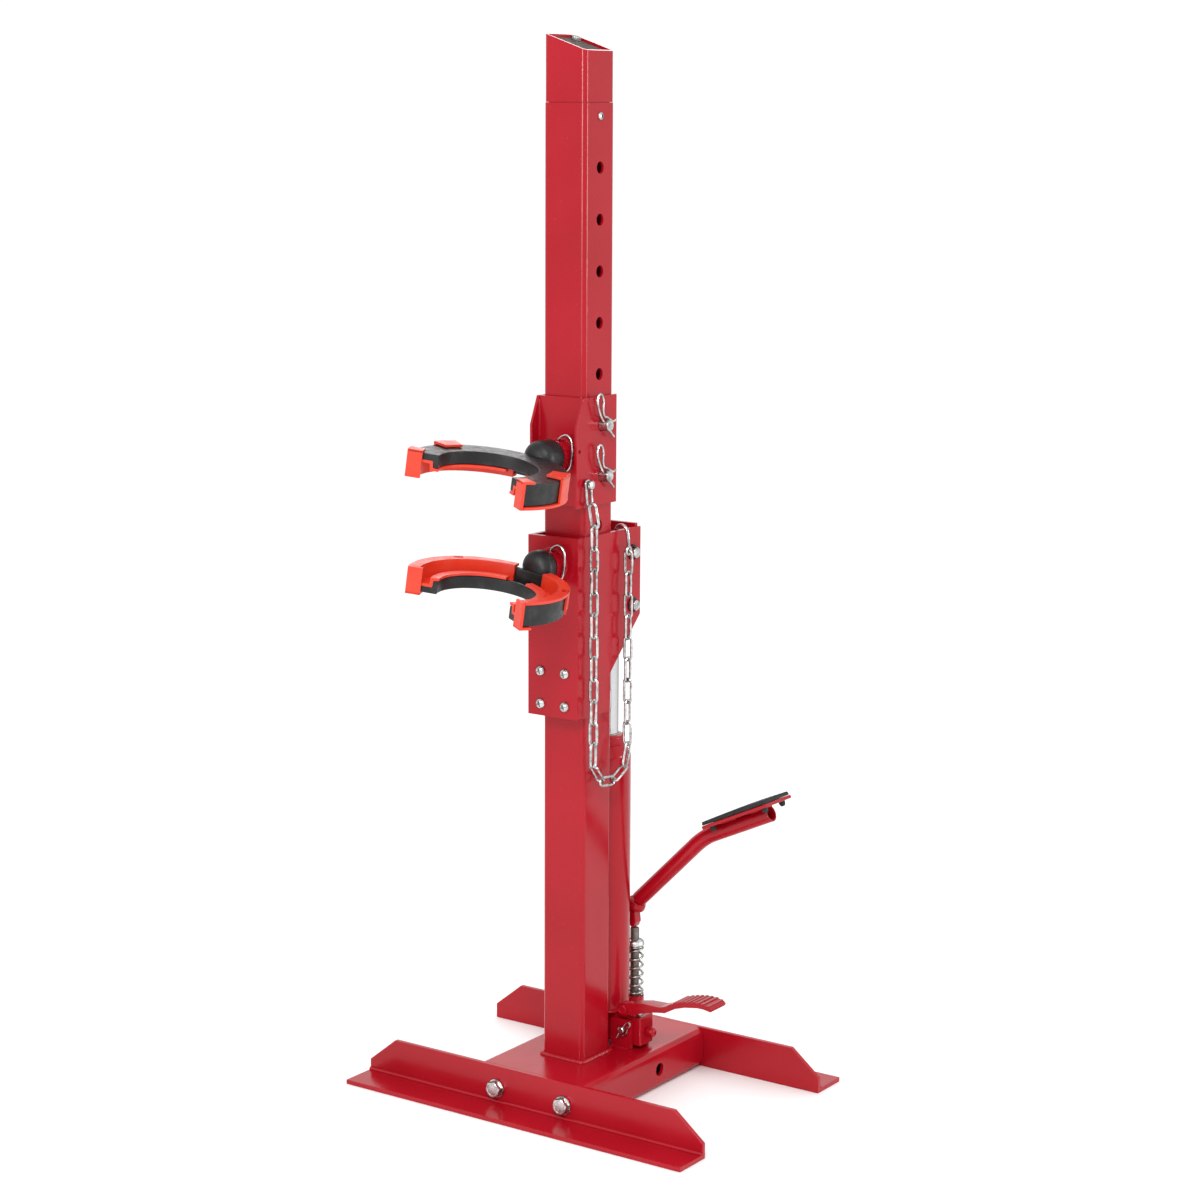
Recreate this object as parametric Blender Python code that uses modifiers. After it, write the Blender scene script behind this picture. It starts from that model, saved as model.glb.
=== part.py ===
"""Floor-standing hydraulic coil spring compressor, in metres, +Z up.

The origin is on the floor under the axis of the column. +Y runs from the yokes towards
the ram, and +X towards the side that the two foot pedals reach out to.
"""

from math import atan2, cos, pi, radians, sin

import bmesh
import bpy
from mathutils import Matrix, Vector

# Clearances
GAP = 0.0003
RUNNING = 0.0006

# Column and its cap
COLUMN = 0.054
COLUMN_WALL = 0.003
COLUMN_EDGE = 0.0055
COLUMN_TOP = 1.086
CAP_SIZE = 0.0534
CAP_WALL = 0.0025
CAP_HIGH = 1.157
CAP_LOW = 1.139
CAP_SCREW_Z = 1.072
HOLE_TOP = 1.019
HOLE_PITCH = 0.054
HOLE_COUNT = 8
HOLE_RADIUS = 0.0064

# Base
BEAM_WIDTH = 0.144
BEAM_HEIGHT = 0.046
BEAM_WALL = 0.004
BEAM_EDGE = 0.010
PLATE = 0.005
FRONT_FACE = -0.088
REAR_FACE = 0.156
FOOT_LENGTH = 0.447
TOE = 0.043
CHAMFER_X = 0.036
CHAMFER_Z = 0.029
FOOT_BOLT_X = 0.045
FOOT_BOLT_Z = 0.0205
SIDE_HOLE_Y = 0.060
SIDE_HOLE_RADIUS = 0.0075

# Upper bracket, a channel round the column
BRACKET_HALF = 0.0304
BRACKET_SIDE = 0.0029
BRACKET_FRONT = -0.046
BRACKET_REAR = 0.028
BRACKET_LOW = 0.664
BRACKET_HIGH = 0.780
WEB_BACK = -0.0276
PIN_RADIUS = 0.006
PIN_ZS = (HOLE_TOP - 5 * HOLE_PITCH, HOLE_TOP - 6 * HOLE_PITCH)
CLIP_X = 0.0365
CLIP_WIRE = 0.0013
CHAIN_BOLT = Vector((0.0304, -0.029, 0.6885))

# Carriage, a channel that slides on the column
CARRIAGE_HALF = 0.0325
CARRIAGE_FRONT = -0.046
CARRIAGE_REAR = 0.0726
CARRIAGE_NECK_REAR = 0.0154
CARRIAGE_LOW = 0.436
CARRIAGE_TOP = 0.632
WEAR_SCREW_X = 0.0158
WEAR_SCREW_ZS = (0.485, 0.449)
CROSS_PIN_ZS = (0.605, 0.547)

# Yokes
YOKE_TILT = radians(9)
YOKE_Y = -0.160
YOKE_OUTER = 0.082
YOKE_INNER = 0.052
YOKE_ARM = 116
YOKE_STEPS = 32
LINER_FIRST_STEP = 2
NECK_RADIUS = 0.019
SHANK_RADIUS = 0.010
BUSH_RADIUS = 0.017
UPPER_NECK_Z = 0.718
LOWER_NECK_Z = 0.602

# Ram and pump
RAM_Y = 0.0575
RAM_RADIUS = 0.0268
RAM_WALL = 0.0045
RAM_LOW = 0.0845
RAM_SHOULDER = 0.376
RAM_TOP = 0.389
GLAND_TOP = 0.399
ROD_RADIUS = 0.0125
ROD_LOW = 0.245
ROD_TOP = 0.536
BLOCK_LOW = 0.050
BLOCK_HIGH = 0.084
PUMP_X = 0.0153
PUMP_Y = 0.0926
TOWER_TOP = 0.0904
PLUNGER_RADIUS = 0.005
PLUNGER_TOP = 0.1703
SPRING_TOP = 0.1497
SPRING_MEAN = 0.0092
SPRING_WIRE = 0.0011
CLEVIS_PIN = Vector((0.0365, 0.0385, 0.0685))

# Pedals
PUMP_PIVOT = Vector((0.0077, PUMP_Y, 0.175))
PEDAL_TUBE = 0.009
RELEASE_PIVOT = Vector((0.0388, 0.0405, 0.0935))

RED = (0.52, 0.008, 0.016)
DARK_CAST = (0.016, 0.016, 0.017)
ORANGE = (0.80, 0.055, 0.012)
ZINC = (0.56, 0.56, 0.55)
BLACK = (0.02, 0.02, 0.02)
GREY = (0.25, 0.24, 0.22)


def clear_scene():
    for item in list(bpy.data.objects):
        bpy.data.objects.remove(item, do_unlink=True)


def new_collection(name):
    group = bpy.data.collections.new(name)
    bpy.context.scene.collection.children.link(group)
    return group


clear_scene()
PARTS = new_collection("coil_spring_compressor")
CUTTERS = new_collection("cutters")


def material(name, colour, roughness, metallic):
    made = bpy.data.materials.new(name)
    made.use_nodes = True
    shader = made.node_tree.nodes["Principled BSDF"]
    shader.inputs["Base Color"].default_value = (*colour, 1)
    shader.inputs["Roughness"].default_value = roughness
    shader.inputs["Metallic"].default_value = metallic
    return made


FINISHES = {
    "red": lambda name: material(name, RED, 0.25, 0.0),
    "cast": lambda name: material(name, DARK_CAST, 0.5, 0.2),
    "orange": lambda name: material(name, ORANGE, 0.4, 0.0),
    "zinc": lambda name: material(name, ZINC, 0.3, 1.0),
    "chrome": lambda name: material(name, ZINC, 0.1, 1.0),
    "rubber": lambda name: material(name, BLACK, 0.8, 0.0),
    "nylon": lambda name: material(name, GREY, 0.6, 0.0),
    "dark_steel": lambda name: material(name, (0.06, 0.06, 0.06), 0.4, 0.9),
}


def add_part(name, mesh, finish):
    part = bpy.data.objects.new(name, mesh)
    PARTS.objects.link(part)
    mesh.materials.clear()
    mesh.materials.append(FINISHES[finish](name))
    mesh.shade_smooth()
    mesh.set_sharp_from_angle(angle=radians(35))
    return part


def add_cutter(mesh):
    cutter = bpy.data.objects.new("cutter", mesh)
    CUTTERS.objects.link(cutter)
    cutter.hide_render = True
    cutter.display_type = "WIRE"
    return cutter


def combine(part, others, operation="DIFFERENCE"):
    """Cuts the meshes from the part, or joins them to it."""
    for mesh in others:
        step = part.modifiers.new(operation.lower(), "BOOLEAN")
        step.operation = operation
        step.solver = "EXACT"
        step.object = add_cutter(mesh)
    return part


def finished(mesh, name):
    """A mesh from a bmesh, with its faces pointing out."""
    bmesh.ops.recalc_face_normals(mesh, faces=mesh.faces)
    made = bpy.data.meshes.new(name)
    mesh.to_mesh(made)
    mesh.free()
    return made


def box_mesh(low, high, edge=0.0, along=None, segments=2):
    """A box between two corners, with its edges rounded: all, or only those along one axis."""
    made = bmesh.new()
    bmesh.ops.create_cube(made, size=1)
    low, high = Vector(low), Vector(high)
    for vertex in made.verts:
        vertex.co = Vector(
            (l + (h - l) * (c + 0.5) for l, h, c in zip(low, high, vertex.co))
        )
    if edge:
        chosen = made.edges[:]
        if along is not None:
            chosen = [e for e in chosen if abs((e.verts[0].co - e.verts[1].co)[along]) > 1e-6]
        bmesh.ops.bevel(
            made, geom=chosen, offset=edge, segments=segments, profile=0.5, affect="EDGES"
        )
    return finished(made, "box")


def turn_to(direction):
    """The rotation that takes +Z to a direction."""
    return Vector((0, 0, 1)).rotation_difference(Vector(direction)).to_matrix().to_4x4()


def rod_mesh(start, end, radius, sides=16, end_radius=None):
    start, end = Vector(start), Vector(end)
    made = bmesh.new()
    bmesh.ops.create_cone(
        made,
        cap_ends=True,
        segments=sides,
        radius1=radius,
        radius2=radius if end_radius is None else end_radius,
        depth=(end - start).length,
        matrix=Matrix.Translation((start + end) / 2) @ turn_to(end - start),
    )
    return finished(made, "rod")


def lathe_mesh(profile, start, direction, sides):
    """A solid turned about a line, from its (radius, distance) profile, which ends on the line."""
    made = bmesh.new()
    place = Matrix.Translation(start) @ turn_to(direction)
    rings = []
    for radius, distance in profile:
        if radius == 0:
            rings.append([made.verts.new(place @ Vector((0, 0, distance)))])
            continue
        rings.append([
            made.verts.new(
                place @ Vector((radius * cos(2 * pi * i / sides), radius * sin(2 * pi * i / sides), distance))
            )
            for i in range(sides)
        ])
    for first, second in zip(rings, rings[1:]):
        for i in range(sides):
            corners = [first[i % len(first)], first[(i + 1) % len(first)]]
            corners += [second[(i + 1) % len(second)], second[i % len(second)]]
            made.faces.new(list(dict.fromkeys(corners)))
    return finished(made, "lathe")


def prism_mesh(outline, low, high, axis):
    """A flat outline extruded along X, Y or Z; its points are given in the other two axes."""
    made = bmesh.new()
    corners = []
    for first, second in outline:
        point = [first, second]
        point.insert(axis, low)
        corners.append(made.verts.new(point))
    face = made.faces.new(corners)
    moved = bmesh.ops.extrude_face_region(made, geom=[face])
    shift = Vector((0, 0, 0))
    shift[axis] = high - low
    points = [item for item in moved["geom"] if isinstance(item, bmesh.types.BMVert)]
    bmesh.ops.translate(made, verts=points, vec=shift)
    return finished(made, "prism")


def turned(name, profile, start, direction, finish, steps=32):
    """A solid turned about an axis: the profile is (radius, height) down its outer side."""
    made = bmesh.new()
    points = [made.verts.new((radius, 0, height)) for radius, height in profile]
    for first, second in zip(points, points[1:]):
        made.edges.new((first, second))
    if profile[0][0] > 0 and profile[-1][0] > 0:
        made.edges.new((points[-1], points[0]))
    mesh = bpy.data.meshes.new(name)
    made.to_mesh(mesh)
    made.free()
    part = add_part(name, mesh, finish)
    part.location = start
    part.rotation_euler = turn_to(direction).to_euler()
    screw = part.modifiers.new("turn", "SCREW")
    screw.steps = steps
    screw.render_steps = steps
    screw.use_merge_vertices = True
    screw.merge_threshold = 0.00001
    return part


def ring_profile(inner, outer, low, high, edge=0.0):
    """The section of a ring, down its outer side, with its outer edges chamfered."""
    return [
        (inner, high),
        (outer - edge, high),
        (outer, high - edge),
        (outer, low + edge),
        (outer - edge, low),
        (inner, low),
    ]


def smooth_path(points, per_span):
    """Points on a smooth curve through the given ones."""
    points = [Vector(p) for p in points]
    padded = [2 * points[0] - points[1], *points, 2 * points[-1] - points[-2]]
    found = []
    for i in range(len(points) - 1):
        a, b, c, d = padded[i : i + 4]
        for step in range(per_span):
            t = step / per_span
            found.append(
                0.5
                * (2 * b + (c - a) * t + (2 * a - 5 * b + 4 * c - d) * t * t
                   + (3 * b - a - 3 * c + d) * t ** 3)
            )
    found.append(points[-1])
    return found


def wire(name, points, radius, finish, resolution=1):
    """A round wire or tube along a line of points, as a closed mesh."""
    curve = bpy.data.curves.new(name, "CURVE")
    curve.dimensions = "3D"
    curve.bevel_depth = radius
    curve.bevel_resolution = resolution
    curve.use_fill_caps = True
    spline = curve.splines.new("POLY")
    spline.points.add(len(points) - 1)
    for point, place in zip(spline.points, points):
        point.co = (*place, 1)
    guide = bpy.data.objects.new("guide", curve)
    PARTS.objects.link(guide)
    bpy.context.view_layer.update()
    graph = bpy.context.evaluated_depsgraph_get()
    mesh = bpy.data.meshes.new_from_object(guide.evaluated_get(graph))
    made = bmesh.new()
    made.from_mesh(mesh)
    bmesh.ops.remove_doubles(made, verts=made.verts, dist=0.000001)
    bpy.data.objects.remove(guide, do_unlink=True)
    return add_part(name, finished(made, name), finish)


def hex_bolt(name, head_at, direction, across, head, shank, length, finish="zinc", flange=None):
    """A hexagon bolt: the underside of its head is at head_at and its shank runs back."""
    direction = Vector(direction).normalized()
    head_at = Vector(head_at)
    radius = across / 2 / cos(pi / 6)
    bolt = add_part(name, rod_mesh(head_at, head_at + direction * head, radius, 6), finish)
    overlap = direction * 0.0005
    pieces = [rod_mesh(head_at + overlap, head_at - direction * length, shank, 16)]
    if flange:
        pieces.append(rod_mesh(head_at, head_at + direction * 0.0015, flange, 24))
    return combine(bolt, pieces, "UNION")


def pan_screw(name, head_at, direction, radius, head, shank, length, finish="zinc"):
    """A pan-head screw with a low domed head."""
    profile = [
        (0, head),
        (radius * 0.55, head * 0.93),
        (radius * 0.88, head * 0.6),
        (radius, head * 0.15),
        (radius, 0),
        (shank, 0),
        (shank, -length),
        (0, -length),
    ]
    return turned(name, profile, head_at, direction, finish, 16)


def pivot_empty(name, place):
    empty = bpy.data.objects.new(name, None)
    PARTS.objects.link(empty)
    empty.location = place
    return empty


def hang_on(empty, parts):
    """Parents parts and their cutters to an empty and leaves them where they are."""
    bpy.context.view_layer.update()
    cutters = [step.object for part in parts for step in part.modifiers if step.type == "BOOLEAN"]
    for item in [*parts, *cutters]:
        item.parent = empty
        item.matrix_parent_inverse = empty.matrix_world.inverted()


# ---------------------------------------------------------------- base


def foot_mesh_pieces(face, outward):
    """The upright flange of a foot, with its upper corners cut off, and its toe."""
    half = FOOT_LENGTH / 2
    outline = [
        (-half, 0),
        (half, 0),
        (half, BEAM_HEIGHT - CHAMFER_Z),
        (half - CHAMFER_X, BEAM_HEIGHT),
        (-half + CHAMFER_X, BEAM_HEIGHT),
        (-half, BEAM_HEIGHT - CHAMFER_Z),
    ]
    inner = face - outward * PLATE
    flange = prism_mesh(outline, min(face, inner), max(face, inner), 1)
    tip = face + outward * TOE
    toe = box_mesh((-half, min(inner, tip), 0), (half, max(inner, tip), PLATE))
    return flange, toe


def make_foot(name, face, outward):
    flange, toe = foot_mesh_pieces(face, outward)
    foot = combine(add_part(name, flange, "red"), [toe], "UNION")
    inner = face - outward * PLATE * 2
    for x in (-FOOT_BOLT_X, FOOT_BOLT_X):
        hole = rod_mesh((x, inner, FOOT_BOLT_Z), (x, face + outward * 0.01, FOOT_BOLT_Z), 0.0057)
        combine(foot, [hole])
    return foot


def make_base():
    front = FRONT_FACE + PLATE + GAP
    rear = REAR_FACE - PLATE - GAP
    half = BEAM_WIDTH / 2
    outer = box_mesh((-half, front, 0), (half, rear, BEAM_HEIGHT), BEAM_EDGE, 1, 3)
    beam = add_part("base_beam", outer, "red")
    inner = box_mesh(
        (-half + BEAM_WALL, front + PLATE, BEAM_WALL),
        (half - BEAM_WALL, rear - PLATE, BEAM_HEIGHT - BEAM_WALL),
        BEAM_EDGE - BEAM_WALL,
        1,
    )
    side_z = BEAM_HEIGHT / 2
    side_hole = rod_mesh(
        (-half - 0.01, SIDE_HOLE_Y, side_z), (half + 0.01, SIDE_HOLE_Y, side_z), SIDE_HOLE_RADIUS
    )
    combine(beam, [inner, side_hole])
    make_foot("front_foot", FRONT_FACE, -1)
    make_foot("rear_foot", REAR_FACE, 1)
    for name, low in (("front", 0.0390), ("rear", 0.0710)):
        cheek = box_mesh((0.0195, low, BEAM_HEIGHT - 0.001), (0.0465, low + 0.005, 0.0800), 0.003, 1)
        combine(beam, [cheek], "UNION")
    combine(beam, [clevis_hole(0.0044)])
    for end, face, outward in (("front", FRONT_FACE, -1), ("rear", REAR_FACE, 1)):
        for side, x in (("left", -FOOT_BOLT_X), ("right", FOOT_BOLT_X)):
            near = face - outward * 0.02
            combine(beam, [rod_mesh((x, near, FOOT_BOLT_Z), (x, face, FOOT_BOLT_Z), 0.0056)])
            place = Vector((x, face + outward * GAP, FOOT_BOLT_Z))
            name = end + "_bolt_" + side
            hex_bolt(name, place, (0, outward, 0), 0.0165, 0.0080, 0.005, 0.016, flange=0.0103)


def clevis_hole(radius):
    pin_x, pin_z = CLEVIS_PIN.x, CLEVIS_PIN.z
    return rod_mesh((pin_x, 0.02, pin_z), (pin_x, 0.09, pin_z), radius, 16)


# ---------------------------------------------------------------- column


def square_tube(size, wall, low, high, edge):
    """The outer and inner boxes of a square tube, and the taller inner one is cut away."""
    half = size / 2
    hollow = half - wall
    outer = box_mesh((-half, -half, low), (half, half, high), edge, 2, 3)
    inner = box_mesh(
        (-hollow, -hollow, low - 0.01), (hollow, hollow, high + 0.01), max(edge - wall, 0.001), 2
    )
    return outer, inner


def x_hole(y, z, radius, reach=0.06, sides=16):
    return rod_mesh((-reach, y, z), (reach, y, z), radius, sides)


def make_column():
    outer, inner = square_tube(
        COLUMN, COLUMN_WALL, BEAM_HEIGHT + GAP, COLUMN_TOP, COLUMN_EDGE
    )
    column = add_part("column", outer, "red")
    holes = [
        x_hole(0, HOLE_TOP - i * HOLE_PITCH, HOLE_RADIUS, sides=12) for i in range(HOLE_COUNT)
    ]
    combine(column, [inner, *holes, x_hole(0, CAP_SCREW_Z, 0.0028, sides=12)])


def slope_at(x):
    """Height of the sloping top of the cap at x."""
    return CAP_HIGH + (CAP_LOW - CAP_HIGH) * (x + CAP_SIZE / 2) / CAP_SIZE


def make_cap():
    outer, inner = square_tube(
        CAP_SIZE, CAP_WALL, COLUMN_TOP + GAP, CAP_HIGH + 0.02, COLUMN_EDGE
    )
    cap = add_part("column_cap", outer, "red")
    reach = 0.05
    wedge = [
        (-reach, slope_at(-reach)),
        (reach, slope_at(reach)),
        (reach, CAP_HIGH + 0.05),
        (-reach, CAP_HIGH + 0.05),
    ]
    combine(cap, [inner, prism_mesh(wedge, -reach, reach, 1)])
    half = CAP_SIZE / 2 - CAP_WALL - GAP
    drop, thick = 0.003, 0.003
    outline = [
        (-reach, slope_at(-reach) - drop),
        (reach, slope_at(reach) - drop),
        (reach, slope_at(reach) - drop - thick),
        (-reach, slope_at(-reach) - drop - thick),
    ]
    plate = add_part("cap_plate", prism_mesh(outline, -half - 0.002, half + 0.002, 1), "dark_steel")
    inside = box_mesh((-half, -half, COLUMN_TOP), (half, half, CAP_HIGH), COLUMN_EDGE - CAP_WALL, 2)
    combine(plate, [inside], "INTERSECT")
    bolt_x, bolt_y = -0.0165, 0.0165
    place = Vector((bolt_x, bolt_y, slope_at(bolt_x) - drop + GAP))
    up = Vector((CAP_HIGH - CAP_LOW, 0, CAP_SIZE)).normalized()
    combine(plate, [rod_mesh(place - up * 0.01, place + up * 0.01, 0.0034, 12)])
    hex_bolt("cap_bolt", place, up, 0.010, 0.0035, 0.003, 0.008)
    size = COLUMN - 2 * COLUMN_WALL - 2 * RUNNING
    outer, inner = square_tube(size, 0.0025, COLUMN_TOP - 0.030, COLUMN_TOP + 0.024, 0.002)
    seam = size / 2 + 0.001
    collar = box_mesh(
        (-seam, -seam, COLUMN_TOP + GAP), (seam, seam, COLUMN_TOP + 0.004), 0.003, 2
    )
    combine(cap, [outer, collar], "UNION")
    combine(cap, [inner, x_hole(0, CAP_SCREW_Z, 0.0028, sides=12)])
    for side, sign in (("left", -1), ("right", 1)):
        place = (sign * (COLUMN / 2 + GAP), 0, CAP_SCREW_Z)
        pan_screw("cap_screw_" + side, place, (sign, 0, 0), 0.0042, 0.0022, 0.0024, 0.008)


# ---------------------------------------------------------------- upper bracket


def clip_on_pin(name, z):
    """A spring clip whose straight leg goes through the pin and whose other leg rides over it."""
    shape = [
        (0.0140, -0.0130),
        (0.0070, -0.0065),
        (0.0, 0.0),
        (-0.0080, 0.0075),
        (-0.0135, 0.0165),
        (-0.0165, 0.0260),
        (-0.0140, 0.0335),
        (-0.0085, 0.0330),
        (-0.0055, 0.0260),
        (-0.0062, 0.0180),
        (-0.0040, 0.0105),
        (0.0020, 0.0082),
        (0.0070, 0.0058),
        (0.0120, 0.0035),
        (0.0175, 0.0045),
    ]
    points = [(CLIP_X, y, z + up) for y, up in shape]
    return wire(name, smooth_path(points, 2), CLIP_WIRE, "zinc")


def bush_mesh(face, z):
    """The welded bush in front of a plate's face, which a yoke's shank turns in."""
    return rod_mesh((0, face + 0.001, z), (0, face - 0.0145, z), BUSH_RADIUS, 24)


def bush_cutters(face, z):
    """The bush's bore, through the plate, and the slots that the yoke's clip swings in."""
    bore = rod_mesh((0, face - 0.03, z), (0, face + 0.02, z), SHANK_RADIUS + RUNNING, 24)
    clip_y = face - 0.008
    slot = box_mesh((-0.0065, clip_y - 0.0022, z - 0.03), (0.0065, clip_y + 0.0022, z + 0.03))
    return [bore, slot]


def make_upper_bracket():
    inner = BRACKET_HALF - BRACKET_SIDE
    web_front = WEB_BACK - PLATE
    section = [
        (-BRACKET_HALF, BRACKET_FRONT),
        (-inner, BRACKET_FRONT),
        (-inner, web_front),
        (inner, web_front),
        (inner, BRACKET_FRONT),
        (BRACKET_HALF, BRACKET_FRONT),
        (BRACKET_HALF, BRACKET_REAR),
        (inner, BRACKET_REAR),
        (inner, WEB_BACK),
        (-inner, WEB_BACK),
        (-inner, BRACKET_REAR),
        (-BRACKET_HALF, BRACKET_REAR),
    ]
    bracket = add_part("upper_bracket", prism_mesh(section, BRACKET_LOW, BRACKET_HIGH, 2), "red")
    corner = [
        (BRACKET_FRONT - 0.0100, BRACKET_HIGH - 0.0540),
        (BRACKET_FRONT, BRACKET_HIGH - 0.0300),
        (-0.0335, BRACKET_HIGH),
        (-0.0293, BRACKET_HIGH + 0.0100),
        (BRACKET_FRONT - 0.0100, BRACKET_HIGH + 0.0100),
    ]
    combine(bracket, [bush_mesh(web_front, UPPER_NECK_Z)], "UNION")
    combine(bracket, [prism_mesh(corner, -0.04, 0.04, 0)])
    holes = [x_hole(0, z, PIN_RADIUS + 0.0004) for z in PIN_ZS]
    holes.append(rod_mesh((0.020, -0.0405, 0.724), (0.040, -0.0405, 0.724), 0.0022, 12))
    start = (0.028, CHAIN_BOLT.y, CHAIN_BOLT.z)
    holes.append(rod_mesh((0.020, *start[1:]), (0.040, *start[1:]), 0.0034, 12))
    holes += bush_cutters(WEB_BACK - PLATE, UPPER_NECK_Z)
    combine(bracket, holes)
    for place, z in zip(("top", "bottom"), PIN_ZS):
        name = "bracket_pin_" + place
        shaft = rod_mesh((-0.034, 0, z), (0.0425, 0, z), PIN_RADIUS, 20)
        head = rod_mesh((-0.037, 0, z), (-BRACKET_HALF - GAP, 0, z), 0.009, 20)
        leg = Vector((0, 0.0140, -0.0130)).normalized() * 0.012
        centre = Vector((CLIP_X, 0, z))
        pin = combine(add_part(name, shaft, "zinc"), [head], "UNION")
        combine(pin, [rod_mesh(centre - leg, centre + leg, CLIP_WIRE + 0.0006, 12)])
        clip_on_pin("bracket_clip_" + place, z)
    flange = [
        (0, 0.0095),
        (0.0040, 0.0090),
        (0.0052, 0.0075),
        (0.0052, 0.0060),
        (0.0030, 0.0060),
        (0.0030, -0.0026),
        (0, -0.0026),
    ]
    turned("chain_bolt", flange, CHAIN_BOLT, (1, 0, 0), "zinc", 20)


# ---------------------------------------------------------------- yokes


def swept_ring(section, first, last, centre, face):
    """A section (radius, height) swept about a vertical axis, from one step to another."""
    angle = radians(YOKE_ARM) * 2 / YOKE_STEPS
    start = -radians(YOKE_ARM) + first * angle
    made = bmesh.new()
    corners = [
        made.verts.new((radius * sin(start), radius * cos(start), face * height))
        for radius, height in section
    ]
    made.faces.new(corners)
    bmesh.ops.spin(
        made,
        geom=made.faces[:] + made.edges[:] + made.verts[:],
        cent=(0, 0, 0),
        axis=(0, 0, -1),
        dvec=(0, 0, 0),
        angle=angle * (last - first),
        steps=last - first,
    )
    bmesh.ops.translate(made, verts=made.verts, vec=centre)
    return finished(made, "ring")


def yoke_section():
    """The open channel of a yoke's arm, with its mouth at height 0 and its floor below."""
    rim, floor, base, lip = -0.003, -0.020, -0.026, -0.012
    return [
        (YOKE_INNER, base),
        (YOKE_OUTER, base),
        (YOKE_OUTER, rim),
        (YOKE_OUTER - 0.006, rim),
        (YOKE_OUTER - 0.006, floor),
        (YOKE_INNER + 0.005, floor),
        (YOKE_INNER + 0.005, lip),
        (YOKE_INNER, lip),
    ]


def liner_section():
    """The plastic channel inside the yoke's, folded over both of its walls."""
    inner = YOKE_INNER + 0.005 + 0.0004
    outer = YOKE_OUTER - 0.006 - 0.0004
    floor, rim, lip, thick = -0.0196, -0.0026, -0.0116, 0.003
    return [
        (inner, floor),
        (outer, floor),
        (outer, rim),
        (YOKE_OUTER + 0.003, rim),
        (YOKE_OUTER + 0.003, rim + thick),
        (outer - thick, rim + thick),
        (outer - thick, floor + thick),
        (inner + thick, floor + thick),
        (inner + thick, lip + thick),
        (YOKE_INNER - 0.001, lip + thick),
        (YOKE_INNER - 0.001, lip),
        (inner, lip),
    ]


def make_yoke(which, neck_z, face, mouth, bush_face, shank_end):
    """A horseshoe yoke on a shank that turns in a bush. face is 1 where its channel opens up."""
    empty = pivot_empty(which + "_yoke_pivot", (0, bush_face, neck_z))
    centre = Vector((0, YOKE_Y, neck_z + mouth))
    ring = swept_ring(yoke_section(), 0, YOKE_STEPS, centre, face)
    yoke = add_part(which + "_yoke", ring, "cast")
    bush_front = bush_face - 0.0145
    neck_back = bush_front - 0.0008
    neck_front = YOKE_Y + YOKE_OUTER - 0.003
    neck_radius = NECK_RADIUS
    neck = lathe_mesh(
        [
            (0, 0),
            (SHANK_RADIUS, 0),
            (SHANK_RADIUS, shank_end - neck_back),
            (0.0150, shank_end - neck_back),
            (neck_radius, shank_end - neck_back + 0.0045),
            (neck_radius, shank_end - neck_front),
            (0, shank_end - neck_front),
        ],
        (0, shank_end, neck_z),
        (0, -1, 0),
        24,
    )
    combine(yoke, [neck], "UNION")
    clip_y = bush_face - 0.008
    leg_hole = rod_mesh((0, clip_y, neck_z - 0.02), (0, clip_y, neck_z + 0.02), 0.0019, 12)
    combine(yoke, [leg_hole])
    liners = []
    halves = (("left", 0, YOKE_STEPS // 2 - LINER_FIRST_STEP),
              ("right", YOKE_STEPS // 2 + LINER_FIRST_STEP, YOKE_STEPS))
    for side, first, last in halves:
        mesh = swept_ring(liner_section(), first, last, centre, face)
        liners.append(add_part(which + "_liner_" + side, mesh, "orange"))
    shape = [
        (0, -0.0210),
        (0, -0.0100),
        (0, 0.0),
        (0, 0.0130),
        (0.0020, 0.0200),
        (0.0100, 0.0245),
        (0.0170, 0.0200),
        (0.0196, 0.0100),
        (0.0200, 0.0),
        (0.0190, -0.0090),
        (0.0140, -0.0150),
        (0.0120, -0.0200),
    ]
    points = [(x, clip_y, neck_z + up) for x, up in shape]
    clip = wire(which + "_yoke_clip", smooth_path(points, 2), CLIP_WIRE, "zinc")
    hang_on(empty, [yoke, clip, *liners])
    empty.rotation_euler = (0, YOKE_TILT, 0)
    return empty


# ---------------------------------------------------------------- carriage


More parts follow.
